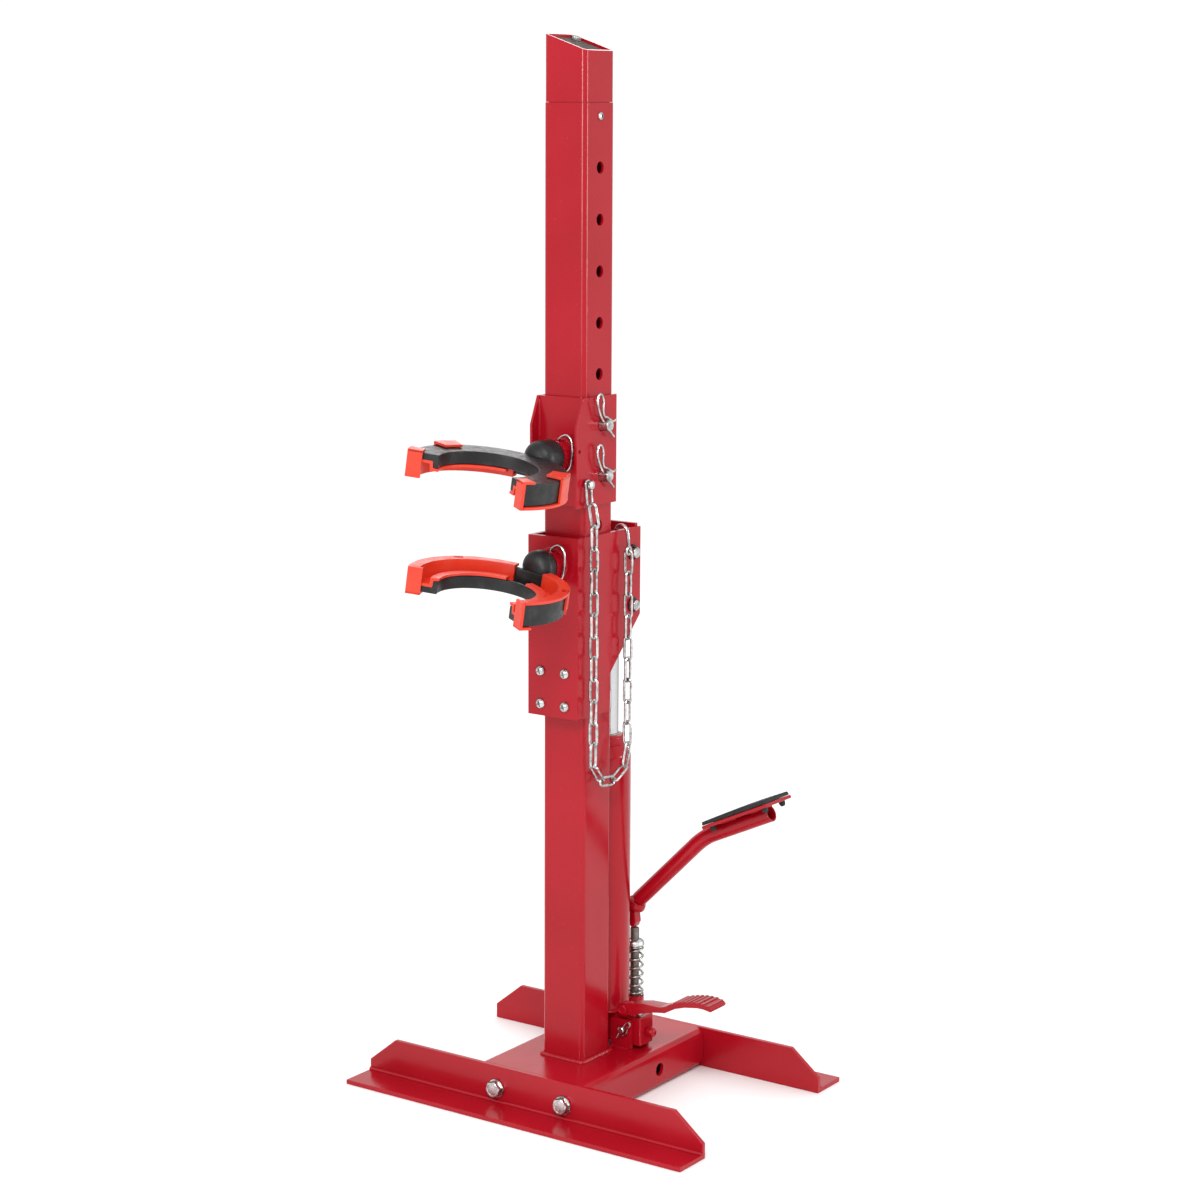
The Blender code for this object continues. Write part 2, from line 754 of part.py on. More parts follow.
def make_carriage():
    inner = CARRIAGE_HALF - PLATE
    half = CARRIAGE_HALF
    plate_back = CARRIAGE_FRONT + PLATE
    section = [
        (-half, CARRIAGE_FRONT),
        (half, CARRIAGE_FRONT),
        (half, CARRIAGE_REAR),
        (inner, CARRIAGE_REAR),
        (inner, plate_back),
        (-inner, plate_back),
        (-inner, CARRIAGE_REAR),
        (-half, CARRIAGE_REAR),
    ]
    carriage = add_part("carriage", prism_mesh(section, CARRIAGE_LOW, CARRIAGE_TOP, 2), "red")
    corner = [
        (CARRIAGE_NECK_REAR, CARRIAGE_LOW - 0.01),
        (CARRIAGE_REAR + 0.01, CARRIAGE_LOW - 0.01),
        (CARRIAGE_REAR + 0.01, 0.535),
        (CARRIAGE_REAR, 0.535),
        (CARRIAGE_NECK_REAR, 0.478),
    ]
    combine(carriage, [prism_mesh(corner, -0.04, 0.04, 0)])
    rear = box_mesh((-inner - 0.001, 0.0676, 0.585), (inner + 0.001, CARRIAGE_REAR - 0.0002, 0.6355))
    combine(carriage, [rear, bush_mesh(CARRIAGE_FRONT, LOWER_NECK_Z)], "UNION")
    holes = [x_hole(RAM_Y, z, PIN_RADIUS + 0.0004) for z in CROSS_PIN_ZS]
    screws = [(sign * WEAR_SCREW_X, z) for z in WEAR_SCREW_ZS for sign in (-1, 1)]
    for x, z in screws:
        holes.append(rod_mesh((x, -0.055, z), (x, -0.035, z), 0.0029, 12))
    holes += bush_cutters(CARRIAGE_FRONT, LOWER_NECK_Z)
    combine(carriage, holes)
    half = inner - GAP

    pad = add_part(
        "front_wear_pad",
        box_mesh(
            (-half, CARRIAGE_FRONT + PLATE + GAP, 0.440), (half, -COLUMN / 2 - 0.0006, 0.496), 0.001
        ),
        "nylon",
    )
    names = ("top_left", "top_right", "bottom_left", "bottom_right")
    for name, (x, z) in zip(names, screws):
        combine(pad, [rod_mesh((x, -0.055, z), (x, -0.032, z), 0.0029, 12)])
        place = (x, CARRIAGE_FRONT - GAP, z)
        pan_screw("wear_pad_screw_" + name, place, (0, -1, 0), 0.0056, 0.0036, 0.0025, 0.012)

    block = add_part(
        "lift_block", box_mesh((-half, 0.0445, 0.5335), (half, 0.067, 0.618), 0.001), "dark_steel"
    )
    combine(block, holes_of_pins())
    seat = rod_mesh((0, RAM_Y, 0.52), (0, RAM_Y, ROD_TOP + 0.0008), 0.0090, 24)
    combine(block, [seat])
    rear_pad = box_mesh((-0.021, COLUMN / 2 + 0.0006, 0.570), (0.021, 0.0442, 0.616), 0.001)
    add_part("rear_wear_pad", rear_pad, "nylon")
    for place, z in zip(("top", "bottom"), CROSS_PIN_ZS):
        shaft = rod_mesh((-0.036, RAM_Y, z), (0.0395, RAM_Y, z), PIN_RADIUS, 20)
        head = rod_mesh((-0.0365, RAM_Y, z), (-CARRIAGE_HALF - GAP, RAM_Y, z), 0.008, 20)
        combine(add_part("cross_pin_" + place, shaft, "zinc"), [head], "UNION")
        ring = ring_profile(PIN_RADIUS + 0.0002, 0.0085, 0, 0.0015, 0.0003)
        start = (CARRIAGE_HALF + GAP, RAM_Y, z)
        turned("cross_pin_clip_" + place, ring, start, (1, 0, 0), "dark_steel", 24)


def holes_of_pins():
    return [x_hole(RAM_Y, z, PIN_RADIUS + 0.0004) for z in CROSS_PIN_ZS]


# ---------------------------------------------------------------- ram and pump


def make_ram():
    bore = RAM_RADIUS - RAM_WALL
    floor = RAM_LOW + 0.008
    neck = 0.0200
    profile = [
        (0.0162, RAM_TOP),
        (neck, RAM_TOP),
        (RAM_RADIUS, RAM_SHOULDER),
        (RAM_RADIUS, RAM_LOW),
        (0, RAM_LOW),
        (0, floor),
        (bore, floor),
        (bore, RAM_SHOULDER - 0.006),
        (0.0162, RAM_SHOULDER + 0.002),
    ]
    cylinder = bmesh.new()
    points = [cylinder.verts.new((radius, 0, height)) for radius, height in profile]
    for first, second in zip(points, points[1:] + points[:1]):
        if first.co.x > 0 or second.co.x > 0:
            cylinder.edges.new((first, second))
    mesh = bpy.data.meshes.new("ram_cylinder")
    cylinder.to_mesh(mesh)
    cylinder.free()
    part = add_part("ram_cylinder", mesh, "red")
    part.location = (0, RAM_Y, 0)
    screw = part.modifiers.new("turn", "SCREW")
    screw.steps = 40
    screw.render_steps = 40
    screw.use_merge_vertices = True
    screw.merge_threshold = 0.00001
    x, y, z = PUMP_PIVOT
    lug = box_mesh((x - 0.0045, 0.0800, z - 0.0040), (x + 0.0045, y - 0.0064, z + 0.0050))
    combine(part, [lug], "UNION")
    hole = rod_mesh((x, 0.0836, z), (x, 0.10, z), 0.0023, 12)
    combine(part, [hole])
    gland = [
        (ROD_RADIUS + 0.0004, GLAND_TOP),
        (0.0178, GLAND_TOP),
        (0.0200, GLAND_TOP - 0.002),
        (0.0200, RAM_TOP + GAP),
        (0.0158, RAM_TOP + GAP),
        (0.0158, RAM_SHOULDER + 0.003),
        (ROD_RADIUS + 0.0004, RAM_SHOULDER + 0.003),
    ]
    turned("ram_gland", gland, (0, RAM_Y, 0), (0, 0, 1), "red", 40)
    neck_low = ROD_TOP - 0.0030
    rod = [
        (0, ROD_TOP),
        (0.0086, ROD_TOP),
        (0.0086, neck_low),
        (ROD_RADIUS, neck_low),
        (ROD_RADIUS, ROD_LOW),
        (bore - 0.0008, ROD_LOW),
        (bore - 0.0008, ROD_LOW - 0.012),
        (0, ROD_LOW - 0.012),
    ]
    turned("ram_rod", rod, (0, RAM_Y, 0), (0, 0, 1), "chrome", 40)


def make_pump():
    block = add_part(
        "ram_base",
        box_mesh((-0.024, 0.0445, BLOCK_LOW), (0.056, 0.0705, BLOCK_HIGH), 0.002),
        "red",
    )
    tower = rod_mesh((PUMP_X, PUMP_Y, BLOCK_LOW), (PUMP_X, PUMP_Y, TOWER_TOP), 0.0110, 28)
    neck = box_mesh((0.0045, 0.0650, BLOCK_LOW + 0.001), (0.0190, PUMP_Y, BLOCK_HIGH - 0.002))
    combine(block, [tower, neck], "UNION")
    seat = rod_mesh((0, RAM_Y, RAM_LOW - GAP), (0, RAM_Y, 0.12), RAM_RADIUS + GAP, 40)
    bore = rod_mesh((PUMP_X, PUMP_Y, 0.0620), (PUMP_X, PUMP_Y, 0.12), PLUNGER_RADIUS + 0.0003, 20)
    pin_x, pin_z = CLEVIS_PIN.x, CLEVIS_PIN.z
    pin_hole = rod_mesh((pin_x, 0.02, pin_z), (pin_x, 0.09, pin_z), 0.0044, 16)
    valve_hole = rod_mesh((0.0500, 0.0520, 0.074), (0.0500, 0.0520, 0.09), 0.0029, 12)
    knob_hole = rod_mesh((0.050, RAM_Y, 0.0655), (0.06, RAM_Y, 0.0655), 0.0034, 12)
    pivot_hole = rod_mesh(
        (RELEASE_PIVOT.x, 0.03, RELEASE_PIVOT.z), (RELEASE_PIVOT.x, 0.0505, RELEASE_PIVOT.z), 0.0028, 12
    )
    combine(block, [seat, bore, pin_hole, valve_hole, knob_hole, pivot_hole])

    shaft = rod_mesh((pin_x, 0.0330, pin_z), (pin_x, 0.0800, pin_z), 0.004, 16)
    head = rod_mesh((pin_x, 0.0763, pin_z), (pin_x, 0.0795, pin_z), 0.0065, 16)
    pin = combine(add_part("clevis_pin", shaft, "zinc"), [head], "UNION")
    clip_y = 0.0362
    leg = Vector((0.0055, 0, 0.0085))
    centre = Vector((pin_x, clip_y, pin_z))
    combine(pin, [rod_mesh(centre - leg, centre + leg, 0.0014, 10)])
    shape = [
        (-0.0065, -0.0105),
        (-0.0033, -0.0052),
        (0.0, 0.0),
        (0.0035, 0.0055),
        (0.0072, 0.0098),
        (0.0102, 0.0098),
        (0.0103, 0.0066),
        (0.0076, 0.0020),
        (0.0056, -0.0030),
        (0.0010, -0.0072),
    ]
    points = [(pin_x + x, clip_y, pin_z + up) for x, up in shape]
    wire("clevis_clip", smooth_path(points, 2), 0.0009, "zinc")

    plunger = [
        (0, PLUNGER_TOP),
        (PLUNGER_RADIUS - 0.0006, PLUNGER_TOP),
        (PLUNGER_RADIUS, PLUNGER_TOP - 0.0006),
        (PLUNGER_RADIUS, 0.0700),
        (0, 0.0700),
    ]
    axis_at = (PUMP_X, PUMP_Y, 0)
    turned("pump_plunger", plunger, axis_at, (0, 0, 1), "chrome", 24)
    cap = [
        (PLUNGER_RADIUS + 0.0003, SPRING_TOP + 0.0065),
        (0.0075, SPRING_TOP + 0.0060),
        (0.0106, SPRING_TOP + 0.0035),
        (0.0110, SPRING_TOP + GAP),
        (PLUNGER_RADIUS + 0.0003, SPRING_TOP + GAP),
    ]
    turned("spring_cap", cap, axis_at, (0, 0, 1), "zinc", 24)
    turns, per_turn = 7, 10
    low = TOWER_TOP + GAP + SPRING_WIRE
    high = SPRING_TOP - SPRING_WIRE
    points = []
    for i in range(turns * per_turn + 1):
        angle = 2 * pi * i / per_turn
        share = i / (turns * per_turn)
        points.append(
            (PUMP_X + SPRING_MEAN * cos(angle), PUMP_Y + SPRING_MEAN * sin(angle),
             low + (high - low) * share)
        )
    wire("pump_spring", points, SPRING_WIRE, "zinc")
    knob = [
        (0, 0.0105),
        (0.0040, 0.0100),
        (0.0056, 0.0075),
        (0.0056, 0.0025),
        (0.0045, 0.0),
        (0.0031, 0.0),
        (0.0031, -0.005),
        (0, -0.005),
    ]
    turned("release_valve_plug", knob, (0.0563, RAM_Y, 0.0655), (1, 0, 0), "red", 20)


def make_pump_pedal():
    """The lever hangs beside the lug, presses the plunger with its nose and carries the tube."""
    x, y, z = PUMP_PIVOT
    eye, nose = 0.0045, 0.0032
    outline = [
        (PUMP_X + nose * cos(pi * (1 + 0.2 * i)), z - 0.0010 + nose * sin(pi * (1 + 0.2 * i)))
        for i in range(6)
    ]
    outline += [
        (PUMP_X + 0.0050, z + 0.0030),
        (PUMP_X + 0.0042, z + 0.0110),
        (PUMP_X + 0.0052, z + 0.0200),
        (PUMP_X - 0.0056, z + 0.0200),
        (PUMP_X - 0.0066, z + 0.0110),
    ]
    outline += [
        (x + eye * cos(pi * (0.70 + 0.10 * i)), z + eye * sin(pi * (0.70 + 0.10 * i)))
        for i in range(10)
    ]
    lever = add_part("pump_lever", prism_mesh(outline, y - 0.0060, y + 0.0060, 1), "red")
    collar = rod_mesh((PUMP_X + 0.0004, y, z + 0.0190), (0.0197, y, z + 0.0262), 0.0108, 24)
    combine(lever, [collar], "UNION")
    hole = rod_mesh((x, 0.04, z), (x, 0.12, z), 0.0024, 12)
    combine(lever, [hole])
    pin = add_part("pump_pivot_pin", rod_mesh((x, 0.0840, z), (x, y + 0.0085, z), 0.0020, 12), "zinc")
    head = rod_mesh((x, y + 0.0063, z), (x, y + 0.0085, z), 0.0038, 16)
    combine(pin, [head], "UNION")

    start = Vector((0.0211, y, z + 0.0288))
    bend = Vector((0.1068, y, 0.2897))
    end = Vector((0.1920, y, 0.3293))
    route = [start, start.lerp(bend, 0.5), start.lerp(bend, 0.9)]
    for step in range(1, 6):
        t = step / 6
        a, b = start.lerp(bend, 0.9), bend.lerp(end, 0.1)
        route.append(a * (1 - t) ** 2 + bend * 2 * t * (1 - t) + b * t * t)
    route += [bend.lerp(end, 0.1), bend.lerp(end, 0.6), end]
    tube = wire("pedal_tube", route, PEDAL_TUBE, "red", 4)
    along = (end - bend).normalized()
    bore = rod_mesh(end - along * 0.06, end + along * 0.02, PEDAL_TUBE - 0.0018, 20)
    combine(tube, [bore])

    up = Vector((-along.z, 0, along.x))
    middle = bend.lerp(end, 0.68) + up * (PEDAL_TUBE - 0.0010)
    frame = Matrix((along, Vector((0, 1, 0)), up)).transposed().to_4x4()
    place = Matrix.Translation(middle + up * 0.0015) @ frame
    plate_mesh = box_mesh((-0.045, -0.026, -0.0012), (0.045, 0.026, 0.0026))
    plate_mesh.transform(place)
    combine(tube, [plate_mesh], "UNION")
    pad_mesh = box_mesh((-0.044, -0.025, 0.0030), (0.044, 0.025, 0.0082), 0.001)
    pad_mesh.transform(place)
    pad = add_part("pedal_pad", pad_mesh, "rubber")
    empty = pivot_empty("pump_pedal_pivot", PUMP_PIVOT)
    hang_on(empty, [lever, tube, pad])
    return pin


def rise_at(line, across):
    """The height of a line of (across, height) points at a place along it."""
    for (x0, z0), (x1, z1) in zip(line, line[1:]):
        if x0 <= across <= x1:
            return z0 + (z1 - z0) * (across - x0) / (x1 - x0)
    return line[-1][1]


def make_release_pedal():
    """A cast lever with a boss on the pivot bolt, a dipped arm and a broad ribbed pad."""
    x, y, z = RELEASE_PIVOT
    front, back = y - 0.0045, y + 0.0045
    top = [
        (x - 0.0050, 0.0055),
        (0.0500, 0.0090),
        (0.0654, 0.0113),
        (0.0848, 0.0111),
        (0.0919, 0.0120),
        (0.0998, 0.0172),
        (0.1087, 0.0205),
        (0.1210, 0.0236),
        (0.1334, 0.0256),
        (0.1440, 0.0253),
        (0.1519, 0.0233),
        (0.1540, 0.0210),
    ]
    bottom = [
        (0.1528, 0.0186),
        (0.1440, 0.0200),
        (0.1361, 0.0200),
        (0.1201, 0.0175),
        (0.1069, 0.0134),
        (0.0936, 0.0059),
        (0.0840, 0.0046),
        (0.0699, 0.0019),
        (0.0550, -0.0030),
        (x, -0.0060),
    ]
    top = [(across, z + up) for across, up in top]
    bottom = [(across, z + up) for across, up in bottom]
    arm = add_part("release_pedal", prism_mesh(top + bottom, front, back, 1), "red")
    pad = prism_mesh(top[4:] + bottom[:6], front, back + 0.0210, 1)
    brace = prism_mesh(
        [(0.0455, z + 0.0060), (0.0654, z + 0.0100), (0.0848, z + 0.0108), (0.0960, z + 0.0140),
         (0.0960, z + 0.0090), (0.0840, z + 0.0052), (0.0560, z - 0.0026), (0.0540, z - 0.0052),
         (0.0455, z - 0.0052)],
        front, back + 0.0110, 1,
    )
    boss = rod_mesh((x, front - 0.0005, z), (x, back - 0.0012, z), 0.0078, 24)
    combine(arm, [pad, brace, boss], "UNION")
    ribs = []
    for i in range(8):
        at = 0.1045 + 0.0062 * i
        height = rise_at(top, at + 0.0013)
        ribs.append(
            box_mesh((at, front, height - 0.0030), (at + 0.0026, back + 0.0210, height + 0.0009))
        )
    combine(arm, ribs, "UNION")
    hole = rod_mesh((x, 0.02, z), (x, 0.06, z), 0.0033, 16)
    combine(arm, [hole])
    bolt_face = front - 0.0005 - GAP
    hex_bolt(
        "release_pivot_bolt", (x, bolt_face, z), (0, -1, 0), 0.010, 0.003, 0.0025, 0.0140, "red"
    )
    pin = add_part(
        "release_valve_pin", rod_mesh((0.0500, 0.0520, 0.0775), (0.0500, 0.0520, z - 0.0058), 0.0025, 16),
        "zinc",
    )
    empty = pivot_empty("release_pedal_pivot", RELEASE_PIVOT)
    hang_on(empty, [arm])
    return pin


# ---------------------------------------------------------------- safety chain


CHAIN_X = 0.0415
CHAIN_LEFT = -0.029
CHAIN_RIGHT = 0.036
CHAIN_BOTTOM = 0.362


def chain_route():
    """From the bolt, down, round the bottom of the loop and up to the hook on the carriage."""
    half = (CHAIN_RIGHT - CHAIN_LEFT) / 2
    middle = (CHAIN_LEFT + CHAIN_RIGHT) / 2
    left_top = CHAIN_BOLT.z - 0.012
    right_top = CARRIAGE_TOP - 0.0200
    turn = CHAIN_BOTTOM + half
    down = [(CHAIN_X - 0.0045, CHAIN_LEFT, left_top)]
    down += [
        (CHAIN_X, CHAIN_LEFT, left_top + (turn - left_top) * i / 12) for i in range(1, 13)
    ]
    bowl = [
        (CHAIN_X, middle - half * cos(pi * i / 16), turn - half * sin(pi * i / 16))
        for i in range(1, 16)
    ]
    rise = [
        (CHAIN_X, CHAIN_RIGHT, turn + (right_top - turn) * i / 12) for i in range(0, 13)
    ]
    return down, bowl, rise


def make_chain():
    down, bowl, rise = chain_route()
    lowest = len(bowl) // 2
    left = down + bowl[: lowest + 1]
    right = bowl[lowest:] + rise
    x, middle, bottom = left[-1]
    left[-1:] = [(x, middle - 0.0020, bottom), (x, middle - 0.0002, bottom)]
    right[:1] = [(x, middle + 0.0002, bottom), (x, middle + 0.0020, bottom)]
    wire("chain_upper", left, 0.003, "zinc", 2)
    wire("chain_lower", right, 0.003, "zinc", 2)
    top = CARRIAGE_TOP
    hook = [
        (CHAIN_X, CHAIN_RIGHT, top - 0.0175),
        (CHAIN_X - 0.0005, CHAIN_RIGHT, top - 0.008),
        (CHAIN_X - 0.0025, CHAIN_RIGHT, top + 0.0015),
        (0.0335, CHAIN_RIGHT, top + 0.0052),
        (0.0275, CHAIN_RIGHT, top + 0.0038),
        (0.0248, CHAIN_RIGHT, top - 0.0030),
        (0.0240, CHAIN_RIGHT, top - 0.0100),
    ]
    wire("chain_hook", smooth_path(hook, 3), 0.002, "zinc")


make_base()
make_column()
make_cap()
make_upper_bracket()
upper_pivot = make_yoke("upper", UPPER_NECK_Z, -1, -0.0220, WEB_BACK - PLATE, -0.0279)
lower_pivot = make_yoke("lower", LOWER_NECK_Z, 1, 0.0004, CARRIAGE_FRONT, -0.036)
make_carriage()
make_ram()
make_pump()
make_pump_pedal()
make_release_pedal()
make_chain()
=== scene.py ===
"""Looks of a floor-standing coil spring compressor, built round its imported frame.

Sizes are in metres. +X is the side that the pedals reach out to, +Y is the side of the ram,
and the origin is on the floor under the axis of the column.
"""

from math import ceil, cos, pi, radians, sin, tan

import bmesh
import bpy
from mathutils import Matrix, Vector


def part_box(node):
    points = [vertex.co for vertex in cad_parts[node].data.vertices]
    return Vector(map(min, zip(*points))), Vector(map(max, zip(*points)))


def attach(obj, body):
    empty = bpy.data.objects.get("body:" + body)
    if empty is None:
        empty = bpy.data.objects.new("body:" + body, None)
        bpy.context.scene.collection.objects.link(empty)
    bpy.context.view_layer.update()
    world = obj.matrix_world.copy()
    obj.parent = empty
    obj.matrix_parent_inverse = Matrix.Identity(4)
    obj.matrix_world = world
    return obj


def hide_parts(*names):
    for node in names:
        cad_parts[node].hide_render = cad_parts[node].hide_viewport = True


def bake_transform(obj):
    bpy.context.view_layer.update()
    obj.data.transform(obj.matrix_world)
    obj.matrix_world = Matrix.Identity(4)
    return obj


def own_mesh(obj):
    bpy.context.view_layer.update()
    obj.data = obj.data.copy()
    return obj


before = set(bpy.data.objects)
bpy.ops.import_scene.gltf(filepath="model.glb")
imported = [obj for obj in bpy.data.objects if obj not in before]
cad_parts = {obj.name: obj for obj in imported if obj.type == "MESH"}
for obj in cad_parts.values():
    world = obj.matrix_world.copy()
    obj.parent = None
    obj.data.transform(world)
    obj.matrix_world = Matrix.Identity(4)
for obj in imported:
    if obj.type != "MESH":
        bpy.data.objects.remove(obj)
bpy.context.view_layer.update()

X_AXIS = Vector((1, 0, 0))
Y_AXIS = Vector((0, 1, 0))
Z_AXIS = Vector((0, 0, 1))


def linked(name, data):
    """A new object of the scene that holds the data."""
    item = bpy.data.objects.new(name, data)
    bpy.context.scene.collection.objects.link(item)
    return item


# ---- camera

CAMERA_AIM = Vector((0, 0, 0.560))
CAMERA_DISTANCE = 2.948
CAMERA_YAW = radians(35.09)
CAMERA_DROP = radians(10.19)
CAMERA_ROLL = radians(0.19)
CAMERA_LENS = 81.9


def make_camera():
    data = bpy.data.cameras.new("camera")
    data.lens = CAMERA_LENS
    data.sensor_width = 36
    data.shift_x = 0.0186
    data.shift_y = -0.0022
    camera = linked("camera", data)
    turn = Matrix.Rotation(CAMERA_YAW, 4, "Z") @ Matrix.Rotation(pi / 2 - CAMERA_DROP, 4, "X")
    back = turn @ Z_AXIS
    roll = Matrix.Rotation(CAMERA_ROLL, 4, "Z")
    place = Matrix.Translation(CAMERA_AIM + back * CAMERA_DISTANCE)
    camera.matrix_world = place @ turn @ roll
    bpy.context.scene.camera = camera


make_camera()

# ---- materials


class Shader:
    """A material with one Principled shader, and short ways to add the nodes that drive it."""

    def __init__(self, name, **values):
        self.material = bpy.data.materials.new(name)
        self.material.use_nodes = True
        self.nodes = self.material.node_tree.nodes
        self.links = self.material.node_tree.links
        self.principled = self.nodes["Principled BSDF"]
        self.place = self.nodes.new("ShaderNodeTexCoord").outputs["Object"]
        for socket, value in values.items():
            self.principled.inputs[socket.replace("_", " ")].default_value = value

    def noise(self, scale, detail=3.0, roughness=0.5, stretch=None):
        place = self.place
        if stretch:
            mapping = self.nodes.new("ShaderNodeMapping")
            mapping.inputs["Scale"].default_value = stretch
            self.links.new(self.place, mapping.inputs["Vector"])
            place = mapping.outputs["Vector"]
        texture = self.nodes.new("ShaderNodeTexNoise")
        for socket, value in (("Scale", scale), ("Detail", detail), ("Roughness", roughness)):
            texture.inputs[socket].default_value = value
        self.links.new(place, texture.inputs["Vector"])
        return texture.outputs["Fac"]

    def ramp(self, value, stops):
        """A colour or a number for each value: the stops are (position, colour or number)."""
        ramp = self.nodes.new("ShaderNodeValToRGB")
        while len(ramp.color_ramp.elements) < len(stops):
            ramp.color_ramp.elements.new(0.5)
        for element, (position, colour) in zip(ramp.color_ramp.elements, stops):
            element.position = position
            rgb = colour if isinstance(colour, tuple) else (colour,) * 3
            element.color = (*rgb, 1)
        self.links.new(value, ramp.inputs["Fac"])
        return ramp.outputs["Color"]

    def mix(self, share, first, second):
        node = self.nodes.new("ShaderNodeMix")
        node.data_type = "RGBA"
        sockets = [s for s in node.inputs if s.type == "RGBA"]
        for socket, value in zip(sockets, (first, second)):
            if isinstance(value, tuple):
                socket.default_value = (*value, 1)
            else:
                self.links.new(value, socket)
        self.links.new(share, node.inputs["Factor"])
        return next(s for s in node.outputs if s.type == "RGBA")

    def bump(self, heights, distance):
        """Bumps the surface by each of several (height, strength) pairs."""
        previous = None
        for height, strength in heights:
            node = self.nodes.new("ShaderNodeBump")
            node.inputs["Strength"].default_value = strength
            node.inputs["Distance"].default_value = distance
            self.links.new(height, node.inputs["Height"])
            if previous:
                self.links.new(previous, node.inputs["Normal"])
            previous = node.outputs["Normal"]
        self.links.new(previous, self.principled.inputs["Normal"])

    def drive(self, **sources):
        for socket, source in sources.items():
            self.links.new(source, self.principled.inputs[socket.replace("_", " ")])


def paint_shader():
    """Glossy red enamel with slight orange peel, uneven gloss and a few pale specks."""
    shader = Shader("red_paint", Specular_IOR_Level=0.30)
    cloud = shader.noise(7, 2)
    red = shader.ramp(cloud, [(0.3, (0.345, 0.002, 0.009)), (0.7, (0.405, 0.004, 0.014))])
    specks = shader.ramp(shader.noise(650, 1), [(0.77, 0.0), (0.80, 1.0)])
    shader.drive(
        Base_Color=shader.mix(specks, red, (0.55, 0.08, 0.09)),
        Roughness=shader.ramp(shader.noise(30, 4), [(0.3, 0.16), (0.7, 0.27)]),
    )
    shader.bump([(shader.noise(420, 2), 0.06), (shader.noise(60, 2), 0.05)], 0.0006)
    return shader.material


def cast_shader():
    """Black lacquer over a sand casting: pebbled, half glossy, greyer where it has rubbed."""
    shader = Shader("black_cast", Specular_IOR_Level=0.35)
    rubbed = shader.ramp(shader.noise(45, 6, 0.65), [(0.50, 0.0), (0.72, 1.0)])
    shader.drive(
        Base_Color=shader.mix(rubbed, (0.007, 0.007, 0.008), (0.026, 0.026, 0.027)),
        Roughness=shader.ramp(shader.noise(120, 4), [(0.3, 0.30), (0.7, 0.50)]),
    )
    shader.bump([(shader.noise(900, 3, 0.6), 0.30), (shader.noise(130, 3), 0.35)], 0.0007)
    return shader.material


def liner_shader():
    """Moulded orange-red plastic, satin, with faint flow marks and scuffs."""
    shader = Shader("orange_plastic", Specular_IOR_Level=0.45)
    flow = shader.noise(18, 3, 0.5, (1, 1, 3))
    orange = shader.ramp(flow, [(0.3, (0.66, 0.030, 0.010)), (0.7, (0.75, 0.045, 0.014))])
    scuffs = shader.ramp(shader.noise(260, 5, 0.7, (1, 1, 6)), [(0.62, 0.0), (0.75, 0.5)])
    shader.drive(
        Base_Color=shader.mix(scuffs, orange, (0.62, 0.10, 0.06)),
        Roughness=shader.ramp(shader.noise(90, 4), [(0.3, 0.30), (0.7, 0.48)]),
    )
    shader.bump([(shader.noise(1500, 2), 0.12), (shader.noise(140, 3), 0.10)], 0.0004)
    return shader.material


def metal_shader(name, light, dark, low, high, grain, stretch=None, bump=0.15):
    """Bare or plated metal whose colour and gloss vary, with a grain that may run one way."""
    shader = Shader(name, Metallic=1.0, Specular_Tint=(0.25, 0.25, 0.25, 1))
    cloud = shader.noise(160, 4, 0.6)
    shader.drive(
        Base_Color=shader.ramp(cloud, [(0.32, dark), (0.62, light)]),
        Roughness=shader.ramp(shader.noise(grain * 0.4, 4), [(0.3, low), (0.7, high)]),
    )
    shader.bump([(shader.noise(grain, 3, 0.6, stretch), bump)], 0.0002)
    return shader.material


def rubber_shader():
    shader = Shader("rubber", Specular_IOR_Level=0.35)
    dust = shader.ramp(shader.noise(70, 6, 0.7), [(0.45, 0.0), (0.75, 0.6)])
    shader.drive(
        Base_Color=shader.mix(dust, (0.014, 0.014, 0.014), (0.050, 0.047, 0.043)),
        Roughness=shader.ramp(shader.noise(200, 4), [(0.3, 0.58), (0.7, 0.80)]),
    )
    shader.bump([(shader.noise(1400, 3), 0.35)], 0.0004)
    return shader.material


def nylon_shader():
    shader = Shader("nylon")
    cloud = shader.noise(60, 4)
    shader.drive(
        Base_Color=shader.ramp(cloud, [(0.3, (0.30, 0.28, 0.23)), (0.7, (0.40, 0.38, 0.32))]),
        Roughness=shader.ramp(shader.noise(150, 3), [(0.3, 0.42), (0.7, 0.60)]),
    )
    shader.bump([(shader.noise(500, 3), 0.2)], 0.0004)
    return shader.material


FINISH = {
    "red_paint": paint_shader(),
    "black_cast": cast_shader(),
    "orange_plastic": liner_shader(),
    "zinc": metal_shader("zinc", (0.70, 0.70, 0.69), (0.27, 0.27, 0.27), 0.16, 0.34, 700),
    "chrome": metal_shader(
        "chrome", (0.60, 0.60, 0.61), (0.56, 0.56, 0.57), 0.12, 0.18, 900, (1, 1, 0.02), 0.10
    ),
    "dark_steel": metal_shader("dark_steel", (0.10, 0.10, 0.10), (0.045, 0.045, 0.048), 0.32, 0.50, 500),
    "grey_steel": metal_shader("grey_steel", (0.26, 0.23, 0.21), (0.15, 0.13, 0.12), 0.45, 0.65, 500),
    "spring_wire": metal_shader("spring_wire", (0.44, 0.43, 0.41), (0.24, 0.23, 0.22), 0.18, 0.34, 500),
    "rubber": rubber_shader(),
    "nylon": nylon_shader(),
}

# ---- mesh work


def to_mesh(made, name="mesh"):
    bmesh.ops.recalc_face_normals(made, faces=made.faces)
    mesh = bpy.data.meshes.new(name)
    made.to_mesh(mesh)
    made.free()
    return mesh


def turn_to(direction):
    """The rotation that takes +Z to a direction."""
    return Z_AXIS.rotation_difference(Vector(direction)).to_matrix().to_4x4()


